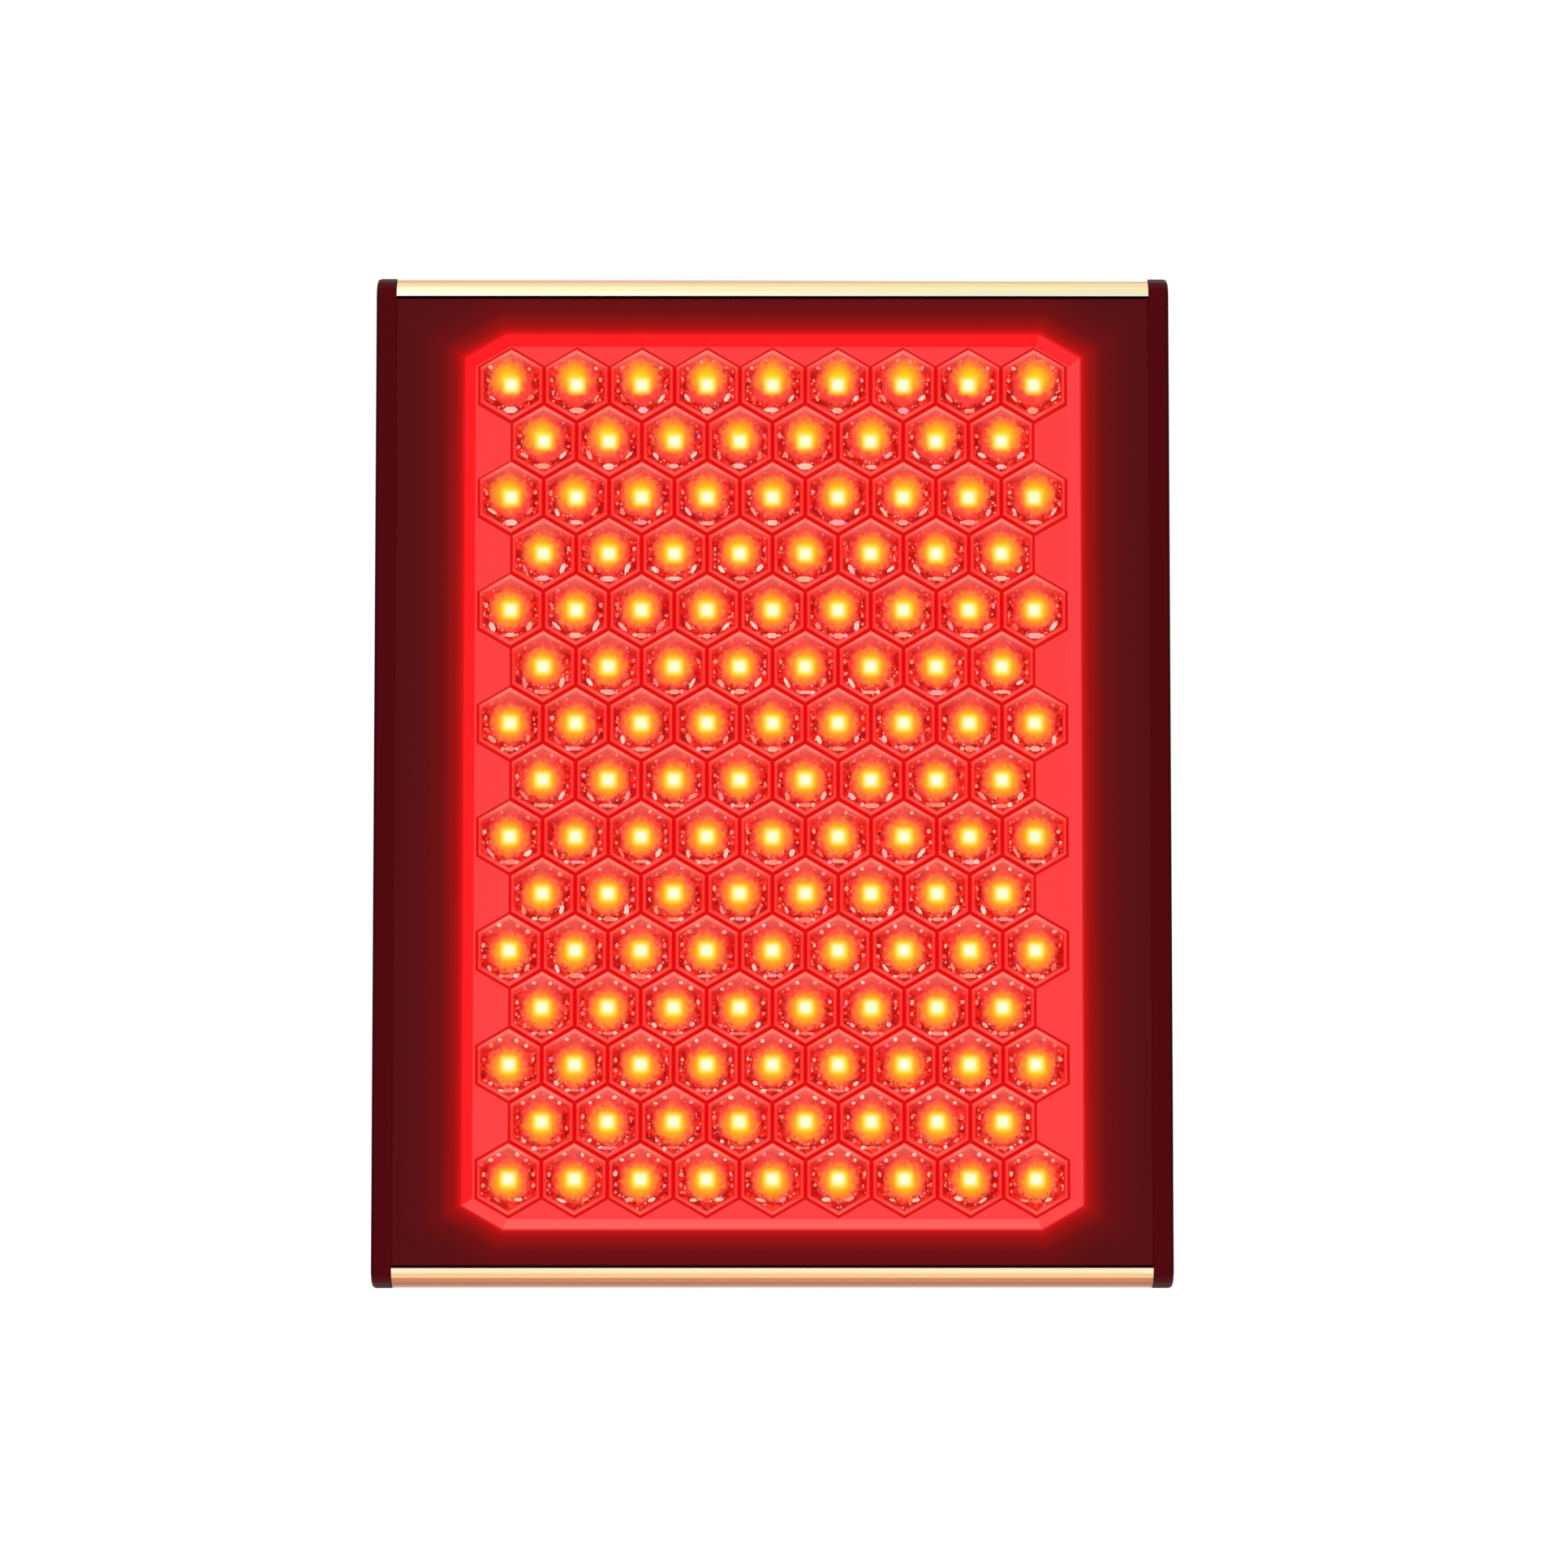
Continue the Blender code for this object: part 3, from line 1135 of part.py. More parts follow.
def lead_points(stops):
    """Points along a smooth curve through the stops."""
    ways = [(after - before).normalized() for before, after in zip(stops, stops[2:])]
    ways = [(stops[1] - stops[0]).normalized()] + ways + [(stops[-1] - stops[-2]).normalized()]
    points = [stops[0]]
    for start, end, start_way, end_way in zip(stops, stops[1:], ways, ways[1:]):
        reach = (end - start).length / 3
        steps = max(1, round((end - start).length / LEAD_STEP))
        points += interpolate_bezier(start, start + start_way * reach, end - end_way * reach, end,
                                     steps + 1)[1:]
    return points


def lead(name, stops, paint, radius=LEAD_RADIUS):
    """Insulated lead: a round tube along its route, with flat ends."""
    points = lead_points([Vector(stop) for stop in stops])
    curve = bpy.data.curves.new(name, "CURVE")
    curve.dimensions = "3D"
    curve.bevel_depth = radius
    curve.bevel_resolution = LEAD_ROUNDING
    curve.use_fill_caps = True
    spline = curve.splines.new("POLY")
    spline.points.add(len(points) - 1)
    for point, place in zip(spline.points, points):
        point.co = (*place, 1.0)
    obj = object_from_bmesh(name, shape_of_curve(name, curve, Matrix.Identity(4)))
    return finished(obj, name, paint, smooth=True)


def mirrored(route):
    return [(-across, depth, height) for across, depth, height in route]


def mains_leads():
    """Leads from the inlet's pins through the switches to the drivers, and the earth lead."""
    live, neutral, earth = [pin_end(across, rise) for name, across, rise in pin_places()]
    rise, offset = SWITCH_TERMINAL_RISE, SWITCH_TERMINAL_SIDE
    near, far = FAN_SPACING / 2 - DRIVER_LEAD_SPACING, FAN_SPACING / 2 + DRIVER_LEAD_SPACING
    lead("live_lead", live + list(LIVE_ROUTE) + switch_end(-1, offset, -rise)[::-1], brown_sleeve())
    lead("live_link_lead", switch_end(-1, -offset, -rise) + list(LIVE_LINK_ROUTE)
         + switch_end(1, offset, -rise)[::-1], brown_sleeve())
    lead("neutral_lead", neutral + list(NEUTRAL_ROUTE) + driver_end(near, -1)[::-1], blue_sleeve())
    inner = near - DRIVER_LEAD_SPACING
    lead("neutral_link_lead", driver_end(inner, -1) + list(NEUTRAL_LINK_ROUTE)
         + driver_end(-inner, -1)[::-1], blue_sleeve())
    lead("left_switched_lead", switch_end(1, 0.0, rise) + list(SWITCHED_ROUTE)
         + driver_end(far, -1)[::-1], brown_sleeve())
    lead("right_switched_lead", switch_end(-1, 0.0, rise) + mirrored(SWITCHED_ROUTE)
         + driver_end(-far, -1)[::-1], brown_sleeve())
    bond = (fin_gap_near(EARTH_ROUTE[-1][0]), SINK_BACK_Y + SEAT_GAP, SERVICE_HEIGHT_UP + EARTH_RISE)
    lead("earth_lead", earth + list(EARTH_ROUTE) + straight_end(bond, (0.0, 1.0, 0.0))[::-1],
         green_sleeve())


def driver_leads():
    """Leads from each driver through the heat sink to the board, and to its fan."""
    for side, title, column in zip((-1, 1), ("right", "left"), board_lead_columns()):
        end = (column, BOARD_BACK_Y + SEAT_GAP, board_lead_height())
        board = straight_end(end, (0.0, 1.0, 0.0), 2 * (SINK_BASE + SEAT_GAP))
        lead(title + "_board_lead", driver_end(column, 1) + board[::-1], black_sleeve(), BOARD_LEAD_RADIUS)
        start = side * (FAN_SPACING / 2 + DRIVER_LEAD_SPACING)
        end = (side * (FAN_SPACING / 2 + FAN_LEAD_SIDE), INSIDE_BACK_Y - FAN_DEPTH / 2,
               FAN_HEIGHT_UP - FAN_SIZE / 2 - SEAT_GAP)
        fan = straight_end(end, (0.0, 0.0, -1.0))
        lead(title + "_fan_lead", driver_end(start, 1) + fan[::-1], black_sleeve())


def build_panel():
    start_scene()
    rail("top_rail", True)
    rail("bottom_rail", False)
    end_cap("left_end_cap", 1)
    end_cap("right_end_cap", -1)
    front_cover()
    honeycomb_lens()
    led_board()
    heat_sink()
    rear_cover()
    for side, title in ((-1, "right"), (1, "left")):
        centre = (side * FAN_SPACING / 2, FAN_HEIGHT_UP)
        fan_frame(title + "_fan_frame", centre)
        fan_rotor(title + "_fan_rotor", centre)
        led_driver(title + "_led_driver", side)
        switch_bezel(title + "_switch_bezel", side)
        switch_rocker(title + "_switch_rocker", side)
    power_inlet()
    for name, across, rise in pin_places():
        inlet_pin(name, across, rise)
    cap_screws()
    back_screws()
    mains_leads()
    driver_leads()


build_panel()
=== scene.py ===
import math

import bpy
import numpy as np
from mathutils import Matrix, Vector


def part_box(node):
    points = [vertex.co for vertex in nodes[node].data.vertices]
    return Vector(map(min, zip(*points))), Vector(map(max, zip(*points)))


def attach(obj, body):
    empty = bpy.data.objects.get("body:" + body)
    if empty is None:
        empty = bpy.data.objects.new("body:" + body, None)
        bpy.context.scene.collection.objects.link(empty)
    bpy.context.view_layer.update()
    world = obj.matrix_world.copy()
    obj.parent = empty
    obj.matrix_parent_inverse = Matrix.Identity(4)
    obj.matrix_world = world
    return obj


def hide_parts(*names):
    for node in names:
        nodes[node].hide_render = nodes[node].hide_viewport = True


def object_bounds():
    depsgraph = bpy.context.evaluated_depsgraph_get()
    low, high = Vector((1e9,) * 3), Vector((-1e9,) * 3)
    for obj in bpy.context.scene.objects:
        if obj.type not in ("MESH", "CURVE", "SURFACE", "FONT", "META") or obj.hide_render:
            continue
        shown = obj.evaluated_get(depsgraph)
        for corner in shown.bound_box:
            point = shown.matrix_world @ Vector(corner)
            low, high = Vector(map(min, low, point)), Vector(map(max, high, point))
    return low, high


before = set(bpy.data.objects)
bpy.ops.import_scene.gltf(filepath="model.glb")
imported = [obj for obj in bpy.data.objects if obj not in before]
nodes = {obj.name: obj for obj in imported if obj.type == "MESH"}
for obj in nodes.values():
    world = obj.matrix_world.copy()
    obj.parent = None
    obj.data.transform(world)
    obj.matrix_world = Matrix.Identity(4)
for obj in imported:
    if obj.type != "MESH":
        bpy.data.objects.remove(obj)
cad_box = [list(corner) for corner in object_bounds()]

# Heat sink
# One aluminium extrusion across the back of the emitter board. It is cut to length and left
# as it came from the die, so fine lines run along its fins.

MM = 0.001
DIE_LINE = 0.35 * MM
DIE_LINE_LENGTH = 40 * MM
MILL_ALUMINIUM = "BDBFC1"
MILL_ALUMINIUM_DULL = "A3A6A9"


def linear(code):
    """sRGB hex colour turned to the linear values that Blender's sockets take."""
    channels = [int(code[place:place + 2], 16) / 255 for place in (0, 2, 4)]
    return tuple(c / 12.92 if c <= 0.04045 else ((c + 0.055) / 1.055) ** 2.4
                 for c in channels) + (1.0,)


def add(tree, kind, inputs=None, stops=(), **settings):
    """Adds a node. Inputs are values or nodes' outputs; a ramp's stops are places and colours."""
    made = tree.nodes.new("ShaderNode" + kind)
    for name, value in settings.items():
        setattr(made, name, value)
    for number, (place, colour) in enumerate(stops):
        elements = made.color_ramp.elements
        stop = elements[number] if number < 2 else elements.new(1.0)
        stop.position = place
        stop.color = linear(colour)
    for socket, value in (inputs or {}).items():
        if isinstance(value, bpy.types.NodeSocket):
            tree.links.new(value, made.inputs[socket])
        else:
            made.inputs[socket].default_value = value
    return made


def maths(tree, operation, *values):
    """A number worked out from one, two or three others, such as their MAXIMUM."""
    return add(tree, "Math", dict(enumerate(values)), operation=operation).outputs[0]


def ranged(tree, value, low, high, start=0.0, end=1.0, curve="LINEAR"):
    """A number that goes from start to end while the value goes from low to high, and no further:
    start + (end - start) * (value - low) / (high - low), or a smooth step between the same ends."""
    return add(tree, "MapRange", {0: value, 1: low, 2: high, 3: start, 4: end},
               interpolation_type=curve).outputs[0]


def ramp(tree, value, stops):
    """The colour that the stops give for a value from 0 to 1."""
    return add(tree, "ValToRGB", {0: value}, stops=stops).outputs[0]


def blend(tree, share, start, end, kind="MIX"):
    """The colour between two others: share 0 gives the start and 1 the end. Each is a hex code,
    linear values or a node's output."""
    start, end = (linear(tone) if isinstance(tone, str) else tone for tone in (start, end))
    return add(tree, "Mix", {0: share, 6: start, 7: end}, data_type="RGBA",
               blend_type=kind).outputs[2]


def noise(tree, size, detail, place=None, **values):
    """Clouds of one size, in the piece's own coordinates unless another place is given."""
    if place is None:
        place = add(tree, "TexCoord").outputs["Object"]
    return add(tree, "TexNoise", {"Vector": place, "Scale": 1 / size, "Detail": detail,
                                  **values}).outputs[0]


def new_material(name, **values):
    """A material with only its Principled shader, whose sockets are given in plain words."""
    made = bpy.data.materials.new(name)
    made.use_nodes = True
    shader = made.node_tree.nodes["Principled BSDF"]
    for socket, value in values.items():
        shader.inputs[socket.replace("_", " ")].default_value = value
    return made, made.node_tree, shader


def tint(tree, shader, pattern, first, second):
    """Gives the shader a base colour between two, by a pattern from 0 to 1."""
    tree.links.new(blend(tree, pattern, first, second), shader.inputs["Base Color"])


def roughen(tree, shader, height, strength, depth):
    """Bumps the surface by a pattern's height, which is too fine to be modelled."""
    bump = add(tree, "Bump", {"Height": height, "Strength": strength, "Distance": depth})
    tree.links.new(bump.outputs[0], shader.inputs["Normal"])


def coat_node(name, finish):
    """Gives a piece of the frame its material, and changes nothing else of it."""
    nodes[name].data.materials.clear()
    nodes[name].data.materials.append(finish)


# Mill-finish 6063 aluminium: a soft grey metal, with streaks as wide as the die's polish left them.
mill_aluminium, tree, shader = new_material("mill_finish_aluminium", Metallic=1.0, Roughness=0.38)
place = add(tree, "TexCoord").outputs["Object"]
stretched = add(tree, "Mapping", {"Vector": place,
                                  "Scale": (1 / DIE_LINE, 1 / DIE_LINE, 1 / DIE_LINE_LENGTH)})
streaks = noise(tree, 1.0, 2.0, stretched.outputs[0])
tint(tree, shader, streaks, MILL_ALUMINIUM_DULL, MILL_ALUMINIUM)
roughen(tree, shader, streaks, 0.25, 0.05 * MM)
coat_node("heat_sink", mill_aluminium)

# Emitter board
# A 1.6 mm aluminium-cored board under white solder mask. The 128 square emitter packages are
# soldered on it in rows that follow the honeycomb, and their tops glow amber.

BOARD_THICKNESS = 1.6 * MM
BOARD_WHITE = "EFEDE6"
EMITTER_GLOW = "FFB23C"
EMITTER_RISE = 0.3 * MM
MASK_GRAIN = 0.6 * MM
UNLIT = (0.0, 0.0, 0.0, 1.0)

_, board_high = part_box("led_board")
board_face = board_high.y - BOARD_THICKNESS
solder_mask, tree, shader = new_material("white_solder_mask", Roughness=0.42, IOR=1.5,
                                         Emission_Strength=1.0)
place = add(tree, "TexCoord").outputs["Object"]
depth = add(tree, "SeparateXYZ", {0: place}).outputs["Y"]
on_emitter = maths(tree, "LESS_THAN", depth, board_face - EMITTER_RISE)
tint(tree, shader, on_emitter, BOARD_WHITE, EMITTER_GLOW)
lit = blend(tree, on_emitter, UNLIT, EMITTER_GLOW)
tree.links.new(lit, shader.inputs["Emission Color"])
roughen(tree, shader, noise(tree, MASK_GRAIN, 1.0, place), 0.1, 0.02 * MM)
coat_node("led_board", solder_mask)

# Honeycomb lens
# One clear acrylic moulding in front of the emitters. Each emitter has a hexagonal cup with a
# polished rim, facets that throw its light forwards and a dome on which the emitter is painted as a
# bright square.

CELL_PITCH = 20 * MM
ROW_PITCH = CELL_PITCH * math.sqrt(3) / 2
CELL_ROWS = 15
LONG_ROW = 9
CENTRE_HEIGHT = (cad_box[0][2] + cad_box[1][2]) / 2
LENS_FACE = -21.7 * MM
CUP_STEPS = 18
GROOVE_OUTER = 10.45 * MM
GROOVE_SINK = 0.02 * MM
GROOVE_EDGE = 9.60 * MM
GROOVE_LIFT = 0.15 * MM
RIM_OUTER = 9.45 * MM
RIM_BEVEL = 0.15 * MM
RIM_INNER = 8.40 * MM
CUP_RIM_LEVEL = -24.2 * MM
FACET_WAIST = 7.40 * MM
FACET_WAIST_LEVEL = -23.3 * MM
CUP_FLOOR_RADIUS = 6.20 * MM
CUP_FLOOR_LEVEL = -22.0 * MM
DOME_RADIUS = 3.6 * MM
DOME_LEVEL = -23.2 * MM
DOME_TOP = -23.7 * MM
SMOOTH_BANDS = 2
LIT_DEPTH = "3A0406"
RIM_END = 12.0
GLINT_SIZE = 1.2 * MM
GLINT_SHARE = 0.7
SPECK_SIZE = 1.1 * MM
SPECK_STRENGTH = 0.65
# how much wider and higher than a circle the halos are, and how far in mm the top row's rise
HALO_SHAPE = (1.0, 1.06)
HALO_RISE = 2.1
HALO_END = 8.0
SQUARENESS = 4.0
SEED = 7


def add_piece(name, points, faces, finish, smooth=None):
    """A mesh object from arrays of points and of faces, with some faces shaded smooth."""
    mesh = bpy.data.meshes.new(name)
    mesh.from_pydata(points, [], faces)
    if smooth is not None:
        mesh.polygons.foreach_set("use_smooth", smooth)
    mesh.materials.append(finish)
    piece = bpy.data.objects.new(name, mesh)
    bpy.context.scene.collection.objects.link(piece)
    return piece


def add_values(mesh, name, kind, values):
    """Stores one value or vector for each face corner."""
    layer = mesh.attributes.new(name, kind, "CORNER")
    key = "vector" if kind == "FLOAT_VECTOR" else "value"
    layer.data.foreach_set(key, np.asarray(values, np.float32).ravel())


def measured(tree, operation, *vectors):
    """A number taken from one or two vectors, such as their DOT_PRODUCT."""
    return add(tree, "VectorMath", dict(enumerate(vectors)), operation=operation).outputs["Value"]


def cell_centres():
    """Rows of nine and eight cells by turns from the bottom up, as hexagons pack: one pitch apart
    across, and upwards a row's pitch, which is the square root of three over two times as much."""
    rows = []
    for row in range(CELL_ROWS):
        count = LONG_ROW - row % 2
        across = (np.arange(count) - (count - 1) / 2) * CELL_PITCH
        height = (row - (CELL_ROWS - 1) / 2) * ROW_PITCH
        rows.append(np.column_stack([across, np.full(count, height)]))
    return np.concatenate(rows)


def hexagon_reach(angles):
    """Distance from a hexagon's centre to its edge at each angle, for one that is 1 from centre to
    flat and stands on a point: 1 over the cosine of the angle from the nearest flat's middle."""
    off = np.mod(angles + math.pi / 6, math.pi / 3) - math.pi / 6
    return 1 / np.cos(off)


centres = cell_centres()
angles = (np.arange(CUP_STEPS) / CUP_STEPS) * 2 * math.pi + math.pi / 6
hexagon = hexagon_reach(angles)
# distance from the centre to each ring's flats, how hexagonal the ring is, and its level
rings = np.array([
    [GROOVE_OUTER, 1.0, LENS_FACE + GROOVE_SINK],
    [GROOVE_EDGE, 1.0, LENS_FACE - GROOVE_LIFT],
    [RIM_OUTER, 1.0, CUP_RIM_LEVEL + RIM_BEVEL],
    [RIM_OUTER - RIM_BEVEL, 1.0, CUP_RIM_LEVEL],
    [RIM_INNER, 1.0, CUP_RIM_LEVEL],
    [FACET_WAIST, 0.55, FACET_WAIST_LEVEL],
    [CUP_FLOOR_RADIUS, 0.2, CUP_FLOOR_LEVEL],
    [DOME_RADIUS, 0.0, DOME_LEVEL],
])
reaches = rings[:, :1] * (1 + rings[:, 1:2] * (hexagon - 1))
ring_points = np.stack([reaches * np.cos(angles), np.repeat(rings[:, 2:], CUP_STEPS, axis=1),
                        reaches * np.sin(angles)], axis=-1).reshape(-1, 3)
cup_points = np.concatenate([ring_points, [[0.0, DOME_TOP, 0.0]]])
step = np.arange(CUP_STEPS)
after = (step + 1) % CUP_STEPS
cup_quads = np.concatenate([
    np.column_stack([ring * CUP_STEPS + step, (ring + 1) * CUP_STEPS + step,
                     (ring + 1) * CUP_STEPS + after, ring * CUP_STEPS + after])
    for ring in range(len(rings) - 1)])
last = (len(rings) - 1) * CUP_STEPS
cup_tips = np.column_stack([last + step, np.full(CUP_STEPS, len(cup_points) - 1), last + after])
offsets = np.column_stack([centres[:, 0], np.zeros(len(centres)), centres[:, 1] + CENTRE_HEIGHT])
points = (offsets[:, None, :] + cup_points[None]).reshape(-1, 3)
shift = (np.arange(len(centres)) * len(cup_points))[:, None, None]
quads = (cup_quads[None] + shift).reshape(-1, 4)
tips = (cup_tips[None] + shift).reshape(-1, 3)
random = np.random.default_rng(SEED)

# Acrylic lit from behind: what the eye sees is the emitter's light, painted as colours given off
# rather than reflected, under the thin gloss of a polished moulding. The numbers from here to the
# fringe are mm from the middle of a cup, or shares from 0 to 1.
acrylic, tree, shader = new_material(
    "red_lit_clear_acrylic", Roughness=0.28, IOR=1.49, Base_Color=linear(LIT_DEPTH),
    Specular_IOR_Level=0.05, Emission_Strength=1.0)
cell = add(tree, "Attribute", attribute_name="cell").outputs["Vector"]
side, up, face_draw = add(tree, "SeparateXYZ", {0: cell}).outputs
slants = [measured(tree, "DOT_PRODUCT", cell, (0.5, slope * math.sqrt(3) / 2, 0.0))
          for slope in (1, -1)]
flats = [maths(tree, "ABSOLUTE", value) for value in (side, *slants)]
widest = maths(tree, "MAXIMUM", flats[0], flats[1])
from_centre = maths(tree, "MAXIMUM", widest, flats[2])

# Painted light and shade: the rim's flat top is lighter than its two edges, and the groove outside
# it is painted the darkest, as shade.
rim_stops = ((0.0, "F6403C"), (8.2, "E01C14"), (8.4, "DC1410"), (8.65, "FE322E"), (8.95, "FE403C"),
             (9.3, "F8322E"), (9.48, "D80A0A"), (RIM_END, "D80808"))
rim = ramp(tree, ranged(tree, from_centre, 0.0, RIM_END),
           [(reach / RIM_END, tone) for reach, tone in rim_stops])

# Inside the rim each facet has a painted red light of its own, broken up by painted glints and
# calmer towards the top.
in_cup = ranged(tree, from_centre, 8.4, 8.2)
in_facets = ranged(tree, from_centre, 5.4, 6.6)
place = add(tree, "TexCoord").outputs["Object"]
glints = add(tree, "TexVoronoi", {"Vector": place, "Scale": 1 / GLINT_SIZE, "Smoothness": 0.3},
             feature="SMOOTH_F1")
glint_draw = add(tree, "SeparateXYZ", {0: glints.outputs["Color"]}).outputs
mottle = add(tree, "Mix", {0: GLINT_SHARE, 2: face_draw, 3: glint_draw[0]}).outputs[0]
facets = ramp(tree, mottle,
              ((0.22, "A80402"), (0.44, "D40A06"), (0.62, "EA180C"), (0.82, "F83822")))
calmed = blend(tree, ranged(tree, up, 2.0, 6.0, 0.0, 0.55), facets, "F02C28")
faceted = blend(tree, in_facets, "F84038", calmed)
cut_cup = blend(tree, in_cup, rim, faceted)

# The upper and lower corners have a paler light painted on them, most of it on top of the rim's
# upper half.
off_middle = maths(tree, "ABSOLUTE", up)
corner_light = ranged(tree, off_middle, 4.0, 9.0)
light_inside = ranged(tree, up, -2.0, 4.0, 0.03, 0.32)
light_on_top = ranged(tree, up, -4.0, 4.0, 0.28, 0.72)
on_rim = ranged(tree, from_centre, 8.1, 8.6, light_inside, light_on_top)
inside_line = ranged(tree, from_centre, 9.48, 9.3)
lightened = maths(tree, "MULTIPLY", corner_light, on_rim)
corner_part = maths(tree, "MULTIPLY", lightened, inside_line)
cupped = blend(tree, corner_part, cut_cup, "FF8C7C")

# A painted halo of the emitter's light lies round it, from yellow out to red, and the painted
# glints make its edge uneven.
halo = add(tree, "Attribute", attribute_name="halo").outputs["Vector"]
even_reach = measured(tree, "LENGTH", halo)
unevenness = ranged(tree, glint_draw[1], 0.2, 0.8, -0.5, 0.5)
outwards = ranged(tree, even_reach, 2.5, 5.5)
halo_reach = maths(tree, "MULTIPLY_ADD", unevenness, outwards, even_reach)
halo_tones = ramp(tree, ranged(tree, halo_reach, 0.0, HALO_END),
                  ((0.19, "FFCC12"), (0.36, "FCAC1C"), (0.56, "FE802E"), (0.80, "FE5440")))
halo_part = ranged(tree, halo_reach, 6.8, 4.6, curve="SMOOTHSTEP")
glowing = blend(tree, halo_part, cupped, halo_tones)

# Painted dark specks of shade and pale glints lie between the halo and the rim, fewer above the
# halo than below it.
specks = add(tree, "TexVoronoi", {"Vector": place, "Scale": 1 / SPECK_SIZE})
speck_draw = add(tree, "SeparateXYZ", {0: specks.outputs["Color"]}).outputs
near_speck = ranged(tree, specks.outputs["Distance"], 0.46, 0.26)
lowered = maths(tree, "MULTIPLY_ADD", up, -0.15, from_centre)
past_halo = ranged(tree, lowered, 5.3, 6.6)
below = ranged(tree, up, 6.0, 2.0, 0.3, 1.0)
in_specks = maths(tree, "MULTIPLY", past_halo, in_cup)
on_specks = maths(tree, "MULTIPLY", in_specks, below)
speck_part = maths(tree, "MULTIPLY", near_speck, on_specks)
for draw, start, tone in ((speck_draw[1], 0.60, "9C0A0C"), (speck_draw[0], 0.78, "FFB09C")):
    drawn = ranged(tree, draw, start, start + 0.1, 0.0, SPECK_STRENGTH)
    glowing = blend(tree, maths(tree, "MULTIPLY", drawn, speck_part), glowing, tone)

# The emitter is painted on the dome as a bright square with round corners, where the fourth root of
# the sum of the fourth powers of the distances across and up is the same, with a painted yellow
# fringe.
side_part, up_part = (maths(tree, "POWER", value, SQUARENESS) for value in (flats[0], off_middle))
square = maths(tree, "POWER", maths(tree, "ADD", side_part, up_part), 1 / SQUARENESS)
fringe = ranged(tree, square, 3.5, 1.4, curve="SMOOTHSTEP")
chip = ranged(tree, square, 2.4, 0.7, curve="SMOOTHSTEP")
shown = blend(tree, chip, blend(tree, fringe, glowing, "FFEE4E"), "FFFFDC")
tree.links.new(shown, shader.inputs["Emission Color"])

faces = [tuple(face) for face in quads.tolist()] + [tuple(face) for face in tips.tolist()]
on_dome = np.zeros((len(centres), len(cup_quads)), bool)
on_dome[:, (len(rings) - 1 - SMOOTH_BANDS) * CUP_STEPS:] = True
smooth = np.concatenate([on_dome.ravel(), np.ones(len(tips), bool)])
cups = add_piece("honeycomb_cups", points, faces, acrylic, smooth)
corner_points = np.concatenate([quads.ravel(), tips.ravel()])
corner_cells = corner_points // len(cup_points)
local = points[corner_points][:, [0, 2]] - offsets[corner_cells][:, [0, 2]]
face_draws = random.random(len(faces))
corner_draws = np.concatenate([np.repeat(face_draws[:len(quads)], 4),
                               np.repeat(face_draws[len(quads):], 3)])
add_values(cups.data, "cell", "FLOAT_VECTOR", np.column_stack([local / MM, corner_draws]))
# The painted halos of the upper rows lie further up and out than their emitters, as the eye is
# below them: rise is 0 in the middle row and 1 in the top one, whose outermost halos are 1 mm out.
rise = np.clip(centres[:, 1] / (CELL_PITCH * 6), -0.5, 1.0)
drift = np.column_stack([centres[:, 0] / (CELL_PITCH * 4) * np.clip(rise, 0.2, 1.0),
                         HALO_RISE * rise * np.abs(rise)])
halo_local = (local / MM - drift[corner_cells]) / np.array(HALO_SHAPE)
add_values(cups.data, "halo", "FLOAT_VECTOR",
           np.column_stack([halo_local, np.zeros(len(halo_local))]))
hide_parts("honeycomb_lens")
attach(cups, "housing")

# Lens plate
# The flat flange of the same moulding, round and behind the cups. It is held between the front
# cover's skirt and the board, and an even red glow is painted on it.

FLANGE_THICKNESS = 1.8 * MM
FLANGE_RIM_WIDTH = 8 * MM
FLANGE_RIM_HEIGHT = 1.9 * MM


def plate_with_rim(low, high, floor, rim_width, rim_height):
    """A rectangular tray: a front sheet, side walls and at the back a rim that meets the board."""
    outer = [(low[0], low[2]), (high[0], low[2]), (high[0], high[2]), (low[0], high[2])]
    inner = [(low[0] + rim_width, low[2] + rim_width), (high[0] - rim_width, low[2] + rim_width),
             (high[0] - rim_width, high[2] - rim_width), (low[0] + rim_width, high[2] - rim_width)]
    front = low[1]
    levels = ((outer, front), (outer, front + floor + rim_height),
              (inner, front + floor + rim_height), (inner, front + floor))
    corners = [(x, y, z) for outline, y in levels for x, z in outline]
    sides = [(ring * 4 + a, ring * 4 + (a + 1) % 4, ring * 4 + 4 + (a + 1) % 4, ring * 4 + 4 + a)
             for ring in range(3) for a in range(4)]
    return corners, [(0, 1, 2, 3)] + [tuple(reversed(face)) for face in sides] + [(15, 14, 13, 12)]


lens_low, lens_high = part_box("honeycomb_lens")
corners, tray_faces = plate_with_rim(
    (lens_low.x, LENS_FACE, lens_low.z), (lens_high.x, lens_high.y, lens_high.z),
    FLANGE_THICKNESS, FLANGE_RIM_WIDTH, FLANGE_RIM_HEIGHT)
# Painted light: the emitters' light through the flange, as an even red glow.
lit_flange, tree, shader = new_material(
    "red_lit_acrylic_flange", Roughness=0.2, IOR=1.49, Base_Color=linear(LIT_DEPTH),
    Specular_IOR_Level=0.15, Emission_Color=linear("FA3B3D"), Emission_Strength=1.0)
plate = add_piece("lens_plate", corners, tray_faces, lit_flange)
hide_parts("honeycomb_lens")
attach(plate, "housing")

# Lens prisms
# Small polished prisms moulded round each cup. Each carries a painted glint of the emitter's light,
# a pale dot or dash. The long streaks and the broad dash below the dome are the brightest glints.

PRISM_SIDES = 6
PRISM_RISE = 0.15 * MM
